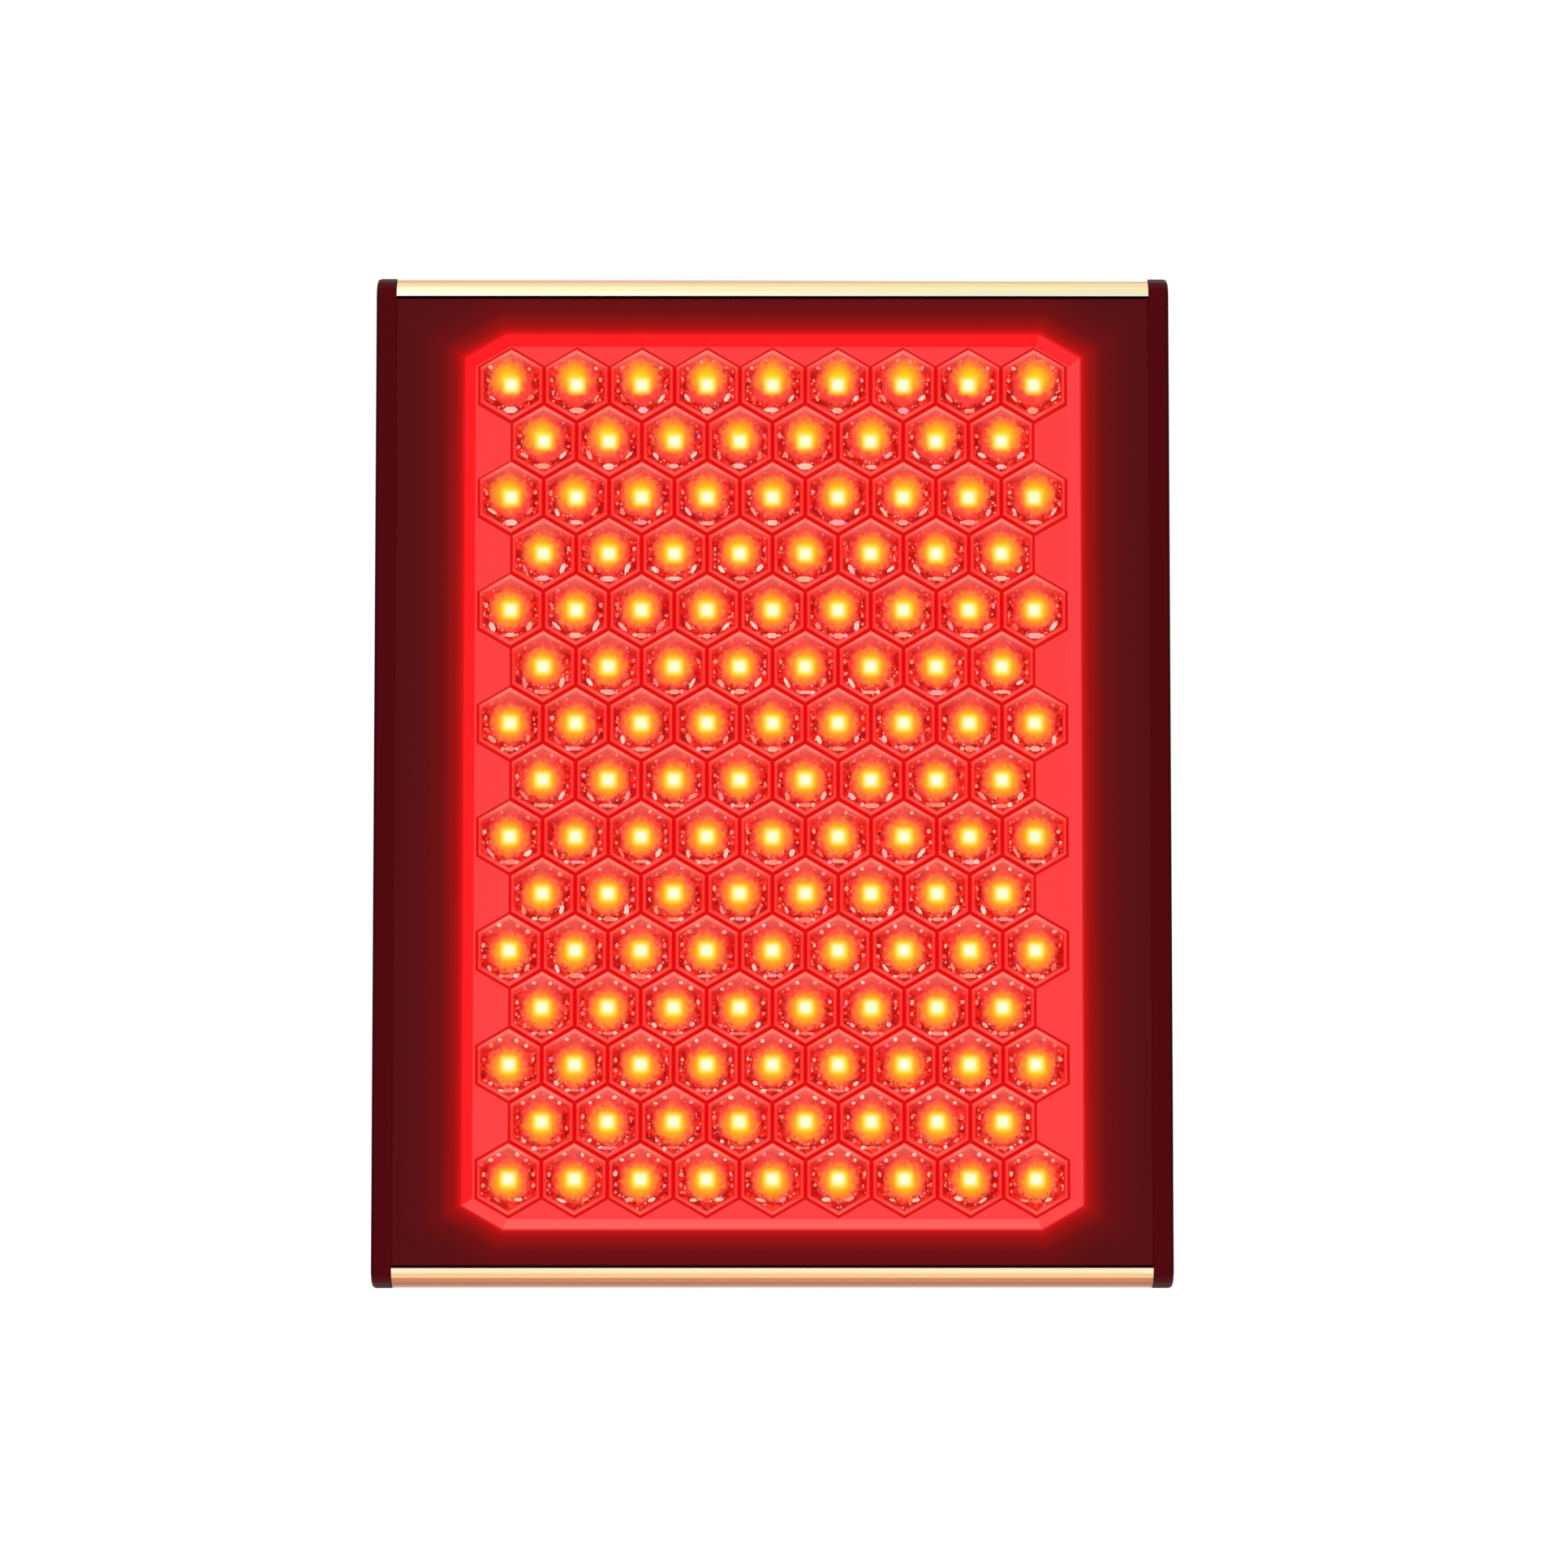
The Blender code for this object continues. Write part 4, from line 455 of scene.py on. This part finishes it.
# at some rows, counted from the bottom: across mm, up mm, half length mm, half width mm, turn in
# degrees and the painted glint's brightness; in the rows between them these change evenly
SIDE_PRISM = (
    (0, 7.5, 1.5, 0.55, 0.75, 0, 0.50), (9, 7.5, 1.5, 0.55, 0.75, 0, 0.40),
    (14, 7.4, 1.5, 0.5, 0.7, 0, 0.36))
LOW_SIDE_PRISM = (
    (0, 7.6, -1.8, 0.5, 0.6, 0, 0.45), (9, 7.6, -1.8, 0.5, 0.6, 0, 0.32),
    (14, 7.5, -1.8, 0.45, 0.5, 0, 0.26))
HIGH_SIDE_PRISM = (
    (0, 5.4, 5.8, 0.65, 0.6, 0, 0.60), (4, 5.4, 5.8, 0.65, 0.6, 0, 0.50),
    (8, 5.4, 5.8, 0.5, 0.5, 0, 0.22), (13, 5.5, 5.7, 0.4, 0.4, 0, 0.15),
    (14, 6.0, 5.3, 0.6, 0.5, 0, 0.60))
TOP_PRISM = (
    (0, 2.65, 7.45, 0.7, 0.6, 0, 0.80), (4, 2.65, 7.45, 0.65, 0.6, 0, 0.66),
    (8, 2.65, 7.45, 0.5, 0.5, 0, 0.22), (13, 2.4, 7.45, 0.4, 0.4, 0, 0.1),
    (14, 1.9, 7.5, 0.5, 0.4, 0, 0.40))
STREAK_PRISM = (
    (0, 3.6, -6.2, 1.3, 0.55, 20, 0.95), (1, 5.3, -5.7, 0.7, 0.6, 45, 0.75),
    (3, 5.5, -5.4, 1.0, 0.6, 52, 0.75), (5, 5.65, -5.1, 1.6, 0.65, 62, 0.8),
    (10, 5.8, -4.9, 1.6, 0.7, 60, 0.95), (14, 6.0, -4.0, 1.4, 0.6, 52, 0.75))
FOOT_PRISM = (
    (0, 2.4, -7.8, 0.75, 0.6, 0, 0.0), (1, 2.4, -7.8, 0.75, 0.6, 0, 0.85),
    (4, 2.4, -7.8, 0.75, 0.6, 0, 0.75), (9, 2.2, -7.8, 0.7, 0.6, 0, 0.6),
    (14, 2.0, -7.8, 0.4, 0.5, 0, 0.1))
DASH_PRISM = (
    (0, 0.0, -7.8, 2.0, 0.45, 0, 0.0), (1, 0.0, -7.8, 2.0, 0.5, 0, 0.3),
    (4, 0.0, -7.8, 2.1, 0.7, 0, 0.55), (9, 0.0, -7.75, 2.2, 0.8, 0, 0.70),
    (14, 0.0, -7.75, 2.1, 0.95, 0, 0.92))
PAIRED_PRISMS = (SIDE_PRISM, LOW_SIDE_PRISM, HIGH_SIDE_PRISM, TOP_PRISM, STREAK_PRISM, FOOT_PRISM)
# how bright the twin on the cup's -X side is against the listed one, for each pair
TWIN_SHARES = (1.05, 0.95, 0.95, 1.1, 0.82, 1.0)
# how far single prisms differ: brightness shares, place in mm, size shares and turn in degrees
PAIR_BRIGHTNESS = (0.25, 1.5)
DASH_BRIGHTNESS = (0.6, 1.0)
PLACE_SPREAD = 0.2
PLACE_SHARES = (1.0, 0.7)
SIZES = (0.75, 1.25)
TURN_SPREAD = 12.0
TOO_DIM = 0.16


def cup_level(local):
    """Level of the cup's wall at points beside its centre: each point lies between two of the cup's
    rings in its own direction, and its level is on the straight line between theirs."""
    distance = np.hypot(local[..., 0], local[..., 1])
    corner = hexagon_reach(np.arctan2(local[..., 1], local[..., 0]))
    level = np.full(distance.shape, DOME_LEVEL)
    # the rings come in pairs from the dome out to the rim's inner edge
    for inner, outer in zip(rings[:4:-1], rings[-2:3:-1]):
        near = inner[0] * (1 + inner[1] * (corner - 1))
        far = outer[0] * (1 + outer[1] * (corner - 1))
        share = np.clip((distance - near) / (far - near), 0.0, 1.0)
        level = np.where(distance > near, inner[2] + share * (outer[2] - inner[2]), level)
    return level


def prism_at_rows(stops, row):
    """A prism's six values in each cup, on the straight line between the rows that stops give."""
    stops = np.array(stops)
    return np.column_stack([np.interp(row, stops[:, 0], column) for column in stops[:, 1:].T])


row = centres[:, 1] / ROW_PITCH + (CELL_ROWS - 1) / 2
pairs = [prism_at_rows(stops, row) for stops in PAIRED_PRISMS]
twins = [pair * np.array([-1, 1, 1, 1, -1, share]) for pair, share in zip(pairs, TWIN_SHARES)]
table = np.stack([prism_at_rows(DASH_PRISM, row)] + pairs + twins, axis=1)
table[:, 1:, 5] *= random.uniform(*PAIR_BRIGHTNESS, table[:, 1:, 5].shape)
table[:, 0, 5] *= random.uniform(*DASH_BRIGHTNESS, len(centres))
strayed = random.normal(0.0, PLACE_SPREAD, table[:, :, :2].shape)
table[:, :, :2] += strayed * np.array(PLACE_SHARES)
table[:, :, 2:4] *= random.uniform(*SIZES, table[:, :, 2:4].shape)
table[:, 1:, 4] += random.normal(0.0, TURN_SPREAD, table[:, 1:, 4].shape)
shown_prisms = table[:, :, 5] > TOO_DIM
# each prism is a low six-sided cone that follows the cup's wall and is closed behind it
turn = np.arange(PRISM_SIDES) / PRISM_SIDES * 2 * math.pi
lean = np.radians(table[:, :, 4])
along = table[:, :, 2, None] * np.cos(turn)
aside = table[:, :, 3, None] * np.sin(turn)
prism_x = table[:, :, 0, None] + along * np.cos(lean)[..., None] - aside * np.sin(lean)[..., None]
prism_z = table[:, :, 1, None] + along * np.sin(lean)[..., None] + aside * np.cos(lean)[..., None]
foot = np.stack([prism_x, prism_z], axis=-1) * MM
peak = table[:, :, None, :2] * MM
outline = np.concatenate([foot, peak], axis=2)
peak_level = cup_level(np.broadcast_to(peak, outline.shape))
level = np.minimum(cup_level(outline), peak_level + PRISM_RISE)
level = np.concatenate([level - PRISM_RISE, level[:, :, :PRISM_SIDES] + PRISM_RISE], axis=2)
level[:, :, PRISM_SIDES] -= PRISM_RISE
outline = np.concatenate([outline, foot], axis=2)
prism_points = np.stack([outline[..., 0] + centres[:, None, None, 0], level,
                         outline[..., 1] + centres[:, None, None, 1] + CENTRE_HEIGHT], axis=-1)
prism_points = prism_points[shown_prisms]
brightness = table[:, :, 5][shown_prisms]
blushes = random.random(len(brightness))
# a prism's points are six round its foot, its tip, and the six of the foot again at the back
here = np.arange(PRISM_SIDES)
beyond = (here + 1) % PRISM_SIDES
back = PRISM_SIDES + 1
prism_fronts = np.column_stack([here, np.full(PRISM_SIDES, PRISM_SIDES), beyond])
prism_walls = np.column_stack([here, beyond, beyond + back, here + back])
base = (np.arange(len(prism_points)) * (back + PRISM_SIDES))[:, None, None]
triangles = (prism_fronts[None] + base).reshape(-1, 3)
walls_round = (prism_walls[None] + base).reshape(-1, 4)
backs = (here[None] + back + base[:, 0]).reshape(-1, PRISM_SIDES)

# The same acrylic with a painted glint, whiter the brighter the glint, and rosy in some.
prism_acrylic, tree, shader = new_material(
    "acrylic_prism_painted_glint", Roughness=0.2, IOR=1.49, Base_Color=linear("3A1410"),
    Specular_IOR_Level=0.1, Emission_Strength=1.0)
bright, blush = (add(tree, "Attribute", attribute_name=name).outputs["Fac"]
                 for name in ("bright", "blush"))
dash = ramp(tree, bright, ((0.1, "F23A34"), (0.5, "FC8C72"), (0.9, "F4CEBA")))
rosy = ranged(tree, blush, 0.7, 1.0, 0.0, 0.6)
tree.links.new(blend(tree, rosy, dash, "F09AB4"), shader.inputs["Emission Color"])
prisms = add_piece("lens_prisms_painted_glints", prism_points.reshape(-1, 3),
                   triangles.tolist() + walls_round.tolist() + backs.tolist(), prism_acrylic)
for name, drawn in (("bright", brightness), ("blush", blushes)):
    add_values(prisms.data, name, "FLOAT", np.concatenate(
        [np.repeat(drawn, PRISM_SIDES * corners) for corners in (3, 4, 1)]))
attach(prisms, "housing")

# Front cover
# A 2.5 mm sheet of black enamelled metal with an eight-sided window, whose walls slope in to the
# lens. The light that spills from the window over the black face, and the walls' glow, are painted
# on it.

WINDOW_HALF_WIDTH = 94.2 * MM
WINDOW_HALF_HEIGHT = 136.5 * MM
WINDOW_CUT = 12.8 * MM
WINDOW_SLOPE = math.radians(30)
WINDOW_SLACK = 0.05 * MM
WALL_EDGE = 1.6 * MM
LIT_FRONT = 8.2 * MM
SPILL_END = 20.0
ENAMEL_GRAIN = 0.5 * MM

cover_low, cover_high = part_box("front_cover")
black_enamel, tree, shader = new_material(
    "black_enamel_lit_red", Roughness=0.55, IOR=1.5, Base_Color=linear("060101"),
    Specular_IOR_Level=0.03, Emission_Strength=1.0)
where = add(tree, "TexCoord").outputs
axes = add(tree, "SeparateXYZ", {0: where["Object"]}).outputs
across = maths(tree, "ABSOLUTE", axes["X"])
height = maths(tree, "ABSOLUTE", maths(tree, "SUBTRACT", axes["Z"], CENTRE_HEIGHT))
# Distance from the window, whose corners are cut off: from its straight sides or from the cuts,
# whichever is more.
past_side = maths(tree, "SUBTRACT", across, WINDOW_HALF_WIDTH)
past_end = maths(tree, "SUBTRACT", height, WINDOW_HALF_HEIGHT)
side_room = maths(tree, "MAXIMUM", past_side, 0.0)
end_room = maths(tree, "MAXIMUM", past_end, 0.0)
outside = measured(tree, "LENGTH", add(tree, "CombineXYZ", {0: side_room, 1: end_room}).outputs[0])
past = add(tree, "CombineXYZ", {0: past_side, 1: past_end}).outputs[0]
cut_reach = measured(tree, "DOT_PRODUCT", past,
                     (math.sin(WINDOW_SLOPE), math.cos(WINDOW_SLOPE), 0.0))
cut_past = maths(tree, "ADD", cut_reach, WINDOW_CUT * math.sin(WINDOW_SLOPE))
from_window = maths(tree, "MAXIMUM", outside, cut_past)
# Painted light: the window's red spill over the black face, darker further out.
spill_stops = ((0.0, "D0100C"), (1.0, "B00E0C"), (2.3, "9A0C0A"), (3.7, "8E0C0C"), (5.1, "7C0C0E"),
               (6.5, "6E0A0C"), (9.3, "660A0C"), (12.0, "5C0A0E"), (18.0, "540A10"))
spill = ramp(tree, ranged(tree, from_window, 0.0, SPILL_END * MM),
             [(reach / SPILL_END, tone) for reach, tone in spill_stops])
# The walls have a painted glow by where they face, and end in a painted darker line of shade at
# the front.
normal = add(tree, "SeparateXYZ", {0: where["Normal"]}).outputs
wall_glow = ramp(tree, ranged(tree, normal["Z"], -1.0, 1.0),
                 ((0.0, "FE1E24"), (0.5, "FE1E24"), (0.85, "FF3838"), (1.0, "FF6A66")))
facing_right = ranged(tree, normal["X"], -0.3, -0.9)
walls = blend(tree, facing_right, wall_glow, "FD4349")
edge_light = ranged(tree, axes["Y"], cover_low.y, cover_low.y + WALL_EDGE)
edged = blend(tree, edge_light, "D20C12", walls)
sloping = maths(tree, "GREATER_THAN", normal["Y"], -0.8)
in_window = maths(tree, "LESS_THAN", from_window, WINDOW_SLACK)
lit_cover = blend(tree, maths(tree, "MULTIPLY", sloping, in_window), spill, edged)
at_front = maths(tree, "LESS_THAN", axes["Y"], cover_low.y + LIT_FRONT)
tree.links.new(blend(tree, at_front, UNLIT, lit_cover), shader.inputs["Emission Color"])
roughen(tree, shader, noise(tree, ENAMEL_GRAIN, 1.0, where["Object"]), 0.12, 0.02 * MM)
coat_node("front_cover", black_enamel)

# Top and bottom rails
# Two lengths of one aluminium extrusion, satin brushed along their length and anodised in a
# champagne gold, with painted shade and reflection by where each face turns. They carry the covers
# on tongues, whose gold is painted near black in the seams, as shade.

BRUSH_LINE = 0.10 * MM
BRUSH_LENGTH = 60 * MM
SLOT_WIDTH = 0.8 * MM
SLOT_SPARE = 0.05 * MM
# the gold with painted shade and reflection by where the face turns, from straight down at 0 to
# straight up at 1
PAINTED_SHADE_GOLDS = ((0.03, "C49D89"), (0.08, "B27C66"), (0.14, "AA6E54"), (0.21, "C68C64"), (0.26, "DAAE7E"),
         (0.33, "EED09C"), (0.38, "F8DFB4"), (0.46, "FFE8CC"), (0.53, "F0E6CC"), (0.60, "EAE0BA"),
         (0.70, "F6ECBA"), (0.79, "FCE8B6"), (0.86, "F5D4A9"), (0.91, "E2BC96"), (0.96, "F2CDB4"))
BRUSHED_DARK = (0.88, 0.86, 0.84, 1.0)
BRUSHED_LIGHT = (1.0, 1.0, 1.0, 1.0)

gold, tree, shader = new_material("champagne_gold_anodised_aluminium", Metallic=1.0,
                                  Roughness=0.30)
where = add(tree, "TexCoord").outputs
stretched = add(tree, "Mapping", {"Vector": where["Object"],
                                  "Scale": (1 / BRUSH_LENGTH, 1 / BRUSH_LINE, 1 / BRUSH_LINE)})
brushing = noise(tree, 1.0, 2.0, stretched.outputs[0])
facing_up = add(tree, "SeparateXYZ", {0: where["Normal"]}).outputs["Z"]
# Painted shade and reflection: the gold's tone by which way the face turns.
turned = ramp(tree, ranged(tree, facing_up, -1.0, 1.0), PAINTED_SHADE_GOLDS)
streaked = blend(tree, brushing, BRUSHED_DARK, BRUSHED_LIGHT)
tone = blend(tree, 1.0, turned, streaked, "MULTIPLY")
rail_height = add(tree, "SeparateXYZ", {0: where["Object"]}).outputs["Z"]
height = maths(tree, "ABSOLUTE", maths(tree, "SUBTRACT", rail_height, CENTRE_HEIGHT))
# Painted shade: the tongues inside the covers' slots are coloured near black.
slot_reach = (cover_high.z - cover_low.z) / 2 + SLOT_WIDTH + SLOT_SPARE
tint(tree, shader, maths(tree, "LESS_THAN", height, slot_reach), tone, "1E0606")
tree.links.new(ranged(tree, brushing, 0.0, 1.0, 0.24, 0.38), shader.inputs["Roughness"])
roughen(tree, shader, brushing, 0.15, 0.02 * MM)
for rail in ("top_rail", "bottom_rail"):
    coat_node(rail, gold)

# End caps
# Two moulded plates of black ABS with a fine spark-eroded texture. Four screws hold each to the
# rails' ends. The window's light on their front is a painted red glow, fainter at the outer edge,
# and their front is painted darker than their back, as shade.

SPARK_GRAIN = 0.45 * MM
CAP_OUTER = 121.0 * MM
CAP_FRONT = -29.5 * MM
CAP_LIGHT_END = -24 * MM
FADE_START = 1.2 * MM
FADE_END = 0.3 * MM

black_abs, tree, shader = new_material("textured_black_abs", Roughness=0.5, IOR=1.53,
                                       Emission_Strength=1.0)
place = add(tree, "TexCoord").outputs["Object"]
axes = add(tree, "SeparateXYZ", {0: place}).outputs
across = maths(tree, "ABSOLUTE", axes["X"])
# Painted light: the window's red glow on the front, fainter at the outer edge.
fading = ranged(tree, across, CAP_OUTER - FADE_START, CAP_OUTER - FADE_END)
painted_cap_glow = blend(tree, fading, "50060C", "2A0001")
at_front = ranged(tree, axes["Y"], CAP_LIGHT_END, CAP_FRONT)
tree.links.new(blend(tree, at_front, UNLIT, painted_cap_glow), shader.inputs["Emission Color"])
# Painted shade: the base colour is darker at the front than at the back.
tint(tree, shader, at_front, "151314", "050202")
sheen = ranged(tree, at_front, 0.0, 1.0, 0.35, 0.01)
tree.links.new(sheen, shader.inputs["Specular IOR Level"])
pits = noise(tree, SPARK_GRAIN, 3.0, place)
roughen(tree, shader, pits, 0.3, 0.05 * MM)
tree.links.new(ranged(tree, pits, 0.0, 1.0, 0.42, 0.62), shader.inputs["Roughness"])
for cap in ("left_end_cap", "right_end_cap"):
    coat_node(cap, black_abs)

# Cap and cover screws
# Button-headed steel screws with a hexagon socket, blackened in an oil bath, which leaves a
# dark satin metal that shines on its edges.

OXIDE_PATCH = 1.2 * MM

black_steel, tree, shader = new_material("blackened_steel", Metallic=1.0, Roughness=0.33)
tint(tree, shader, noise(tree, OXIDE_PATCH, 2.0), "333436", "5A5B5E")
for name in nodes:
    if "_screw_" in name:
        coat_node(name, black_steel)

# Drivers
# Two constant-current supplies, potted in plain die-cast aluminium cases. A foot at each end holds
# them down on the inside of the rear cover.

CAST_GRAIN = 0.8 * MM

cast_aluminium, tree, shader = new_material("die_cast_aluminium", Metallic=1.0, Roughness=0.5,
                                            Base_Color=linear("A9ABAD"))
roughen(tree, shader, noise(tree, CAST_GRAIN, 3.0), 0.3, 0.06 * MM)
for side in ("left", "right"):
    coat_node(side + "_led_driver", cast_aluminium)

# Fans
# Two 80 mm fans, moulded in black glass-filled polyester. The frame holds the rotor's shaft in a
# bearing behind four struts; the rotor is a cup with seven swept blades.

GLASS_FLECK = 0.5 * MM

fan_polyester, tree, shader = new_material("glass_filled_black_polyester", Roughness=0.45,
                                           IOR=1.57)
flecks = noise(tree, GLASS_FLECK, 2.0)
tint(tree, shader, flecks, "141416", "1F1F22")
tree.links.new(ranged(tree, flecks, 0.0, 1.0, 0.36, 0.54), shader.inputs["Roughness"])
for side in ("left", "right"):
    coat_node(side + "_fan_frame", fan_polyester)
    coat_node(side + "_fan_rotor", fan_polyester)

# Rear cover
# A 2 mm aluminium sheet, punched with the fans' grilles, the vents and two keyholes, and powder
# coated black, which gives it a fine even bumpiness.

POWDER_GRAIN = 0.7 * MM

powder_coat, tree, shader = new_material("black_powder_coat", Roughness=0.52, IOR=1.5)
powder = noise(tree, POWDER_GRAIN, 3.0, Roughness=0.6)
tint(tree, shader, powder, "1A1A1C", "2A2A2D")
roughen(tree, shader, powder, 0.5, 0.08 * MM)
coat_node("rear_cover", powder_coat)

# Power inlet, its pins and the switches' bezels
# A flanged socket moulded in black nylon, pushed into the rear cover, with three flat pins of
# nickel-plated brass. The bezels of the two switches are moulded in the same nylon.

FLOW_MARK = 2 * MM
WIPE_MARK = 1.5 * MM

nylon, tree, shader = new_material("moulded_black_nylon", Roughness=0.38, IOR=1.53)
tint(tree, shader, noise(tree, FLOW_MARK, 2.0), "151517", "202023")
for name in ("power_inlet", "left_switch_bezel", "right_switch_bezel"):
    coat_node(name, nylon)
nickel, tree, shader = new_material("nickel_plated_brass", Metallic=1.0, Roughness=0.22)
tint(tree, shader, noise(tree, WIPE_MARK, 2.0), "C9C4B4", "E2DED0")
for wire in ("live", "neutral", "earth"):
    coat_node("inlet_{}_pin".format(wire), nickel)

# Rocker switches
# Two rockers of clear red polycarbonate, polished, with a lamp inside that is on while the panel
# is lit. They tip on pins in their bezels.

LAMP_SPREAD = 5 * MM

red_rocker, tree, shader = new_material("lit_red_polycarbonate", Roughness=0.16, IOR=1.58,
                                        Emission_Strength=0.35)
tone = blend(tree, noise(tree, LAMP_SPREAD, 1.0), "A30D0F", "C81A18")
for socket in ("Base Color", "Emission Color"):
    tree.links.new(tone, shader.inputs[socket])
for side in ("left", "right"):
    coat_node(side + "_switch_rocker", red_rocker)

# Leads
# Stranded copper in PVC sleeves: brown for live, blue for neutral, green with a yellow stripe for
# earth, and black for the fans and the board. Each is cut to its route and crimped or soldered.

SLEEVE_GRAIN = 1.5 * MM
PALER = 1.15
STRIPE_YELLOW = "E8D22A"
SLEEVES = (
    ("brown", "5A3020", ("live_lead", "live_link_lead", "left_switched_lead",
                         "right_switched_lead")),
    ("blue", "2A56A8", ("neutral_lead", "neutral_link_lead")),
    ("green", "2E8A34", ("earth_lead",)),
    ("black", "1C1C1E", ("left_board_lead", "right_board_lead", "left_fan_lead",
                         "right_fan_lead")))

for colour, tone, names in SLEEVES:
    sleeve, tree, shader = new_material(colour + "_pvc_sleeve", Roughness=0.42, IOR=1.53)
    where = add(tree, "TexCoord").outputs
    paler = [PALER * part for part in linear(tone)]
    shade = blend(tree, noise(tree, SLEEVE_GRAIN, 1.0, where["Object"]), tone, paler)
    turned_side = add(tree, "SeparateXYZ", {0: where["Normal"]}).outputs["X"]
    stripe = ranged(tree, turned_side, 0.45, 0.5, 0.0, 1.0 if colour == "green" else 0.0)
    tint(tree, shader, stripe, shade, STRIPE_YELLOW)
    for name in names:
        coat_node(name, sleeve)

# Studio
# A white floor that keeps the panel's shadow, a white surround and three soft lamps. The camera
# stands 1.35 m in front of the lens, 9 cm below its middle, and looks up by 3.8 degrees.

PHOTO_PIXELS = 1932
FOCAL_PIXELS = 5478
SENSOR = 36.0
NEAREST = 0.01
FLOOR_REACH = 6.0
FLOOR_GLOW = 0.6
UNSEEN_GLOW = 0.5
WHITE = (1.0, 1.0, 1.0, 1.0)
CAMERA_PLACE = (-0.0006, -1.375, 0.0628)
CAMERA_TURN = (93.807, 0.0, -0.174)
AIM = (0.0, 0.0, 0.15)


def seen_rays(tree, *kinds):
    """1 for the camera's rays and for the other kinds that are named, and 0 for all the rest."""
    rays = add(tree, "LightPath").outputs
    seen = rays["Is Camera Ray"]
    for kind in kinds:
        seen = maths(tree, "MAXIMUM", seen, rays["Is {} Ray".format(kind)])
    return seen


def add_softbox(name, place, size, power):
    """A square lamp that faces the panel's middle. Its side is in metres, its power in watts."""
    lamp = bpy.data.lights.new(name, "AREA")
    lamp.shape = "RECTANGLE"
    lamp.size = lamp.size_y = size
    lamp.energy = power
    holder = bpy.data.objects.new(name, lamp)
    bpy.context.scene.collection.objects.link(holder)
    holder.location = place
    away = np.array(place) - np.array(AIM)
    flat = math.hypot(away[0], away[1])
    holder.rotation_euler = (math.atan2(flat, away[2]), 0.0, math.atan2(away[0], -away[1]))


floor_paper, tree, shader = new_material(
    "white_paper", Roughness=0.9, Base_Color=linear("F2F2F2"), Specular_IOR_Level=0.0,
    Emission_Color=WHITE)
strength = maths(tree, "MULTIPLY", seen_rays(tree, "Glossy", "Transmission"), FLOOR_GLOW)
tree.links.new(strength, shader.inputs["Emission Strength"])
floor_points = [(x * FLOOR_REACH, y * FLOOR_REACH, 0.0)
                for x, y in ((-1, -1), (1, -1), (1, 1), (-1, 1))]
floor = add_piece("floor", floor_points, [(0, 1, 2, 3)], floor_paper)

world = bpy.data.worlds.new("studio")
bpy.context.scene.world = world
world.use_nodes = True
tree = world.node_tree
surround = tree.nodes["Background"]
surround.inputs["Color"].default_value = WHITE
strength = ranged(tree, seen_rays(tree, "Glossy"), 0.0, 1.0, UNSEEN_GLOW, 1.0)
tree.links.new(strength, surround.inputs["Strength"])

add_softbox("key_softbox", (-0.9, -1.5, 1.3), 1.0, 16.0)
add_softbox("fill_softbox", (1.3, -1.2, 0.7), 0.9, 7.0)
add_softbox("back_softbox", (0.6, 1.6, 1.3), 1.0, 7.0)

camera_data = bpy.data.cameras.new("camera")
camera_data.sensor_width = SENSOR
camera_data.lens = SENSOR * FOCAL_PIXELS / PHOTO_PIXELS
camera_data.clip_start = NEAREST
camera = bpy.data.objects.new("camera", camera_data)
bpy.context.scene.collection.objects.link(camera)
camera.location = CAMERA_PLACE
camera.rotation_euler = [math.radians(turned) for turned in CAMERA_TURN]
bpy.context.scene.camera = camera
bpy.context.scene.view_settings.view_transform = "Standard"
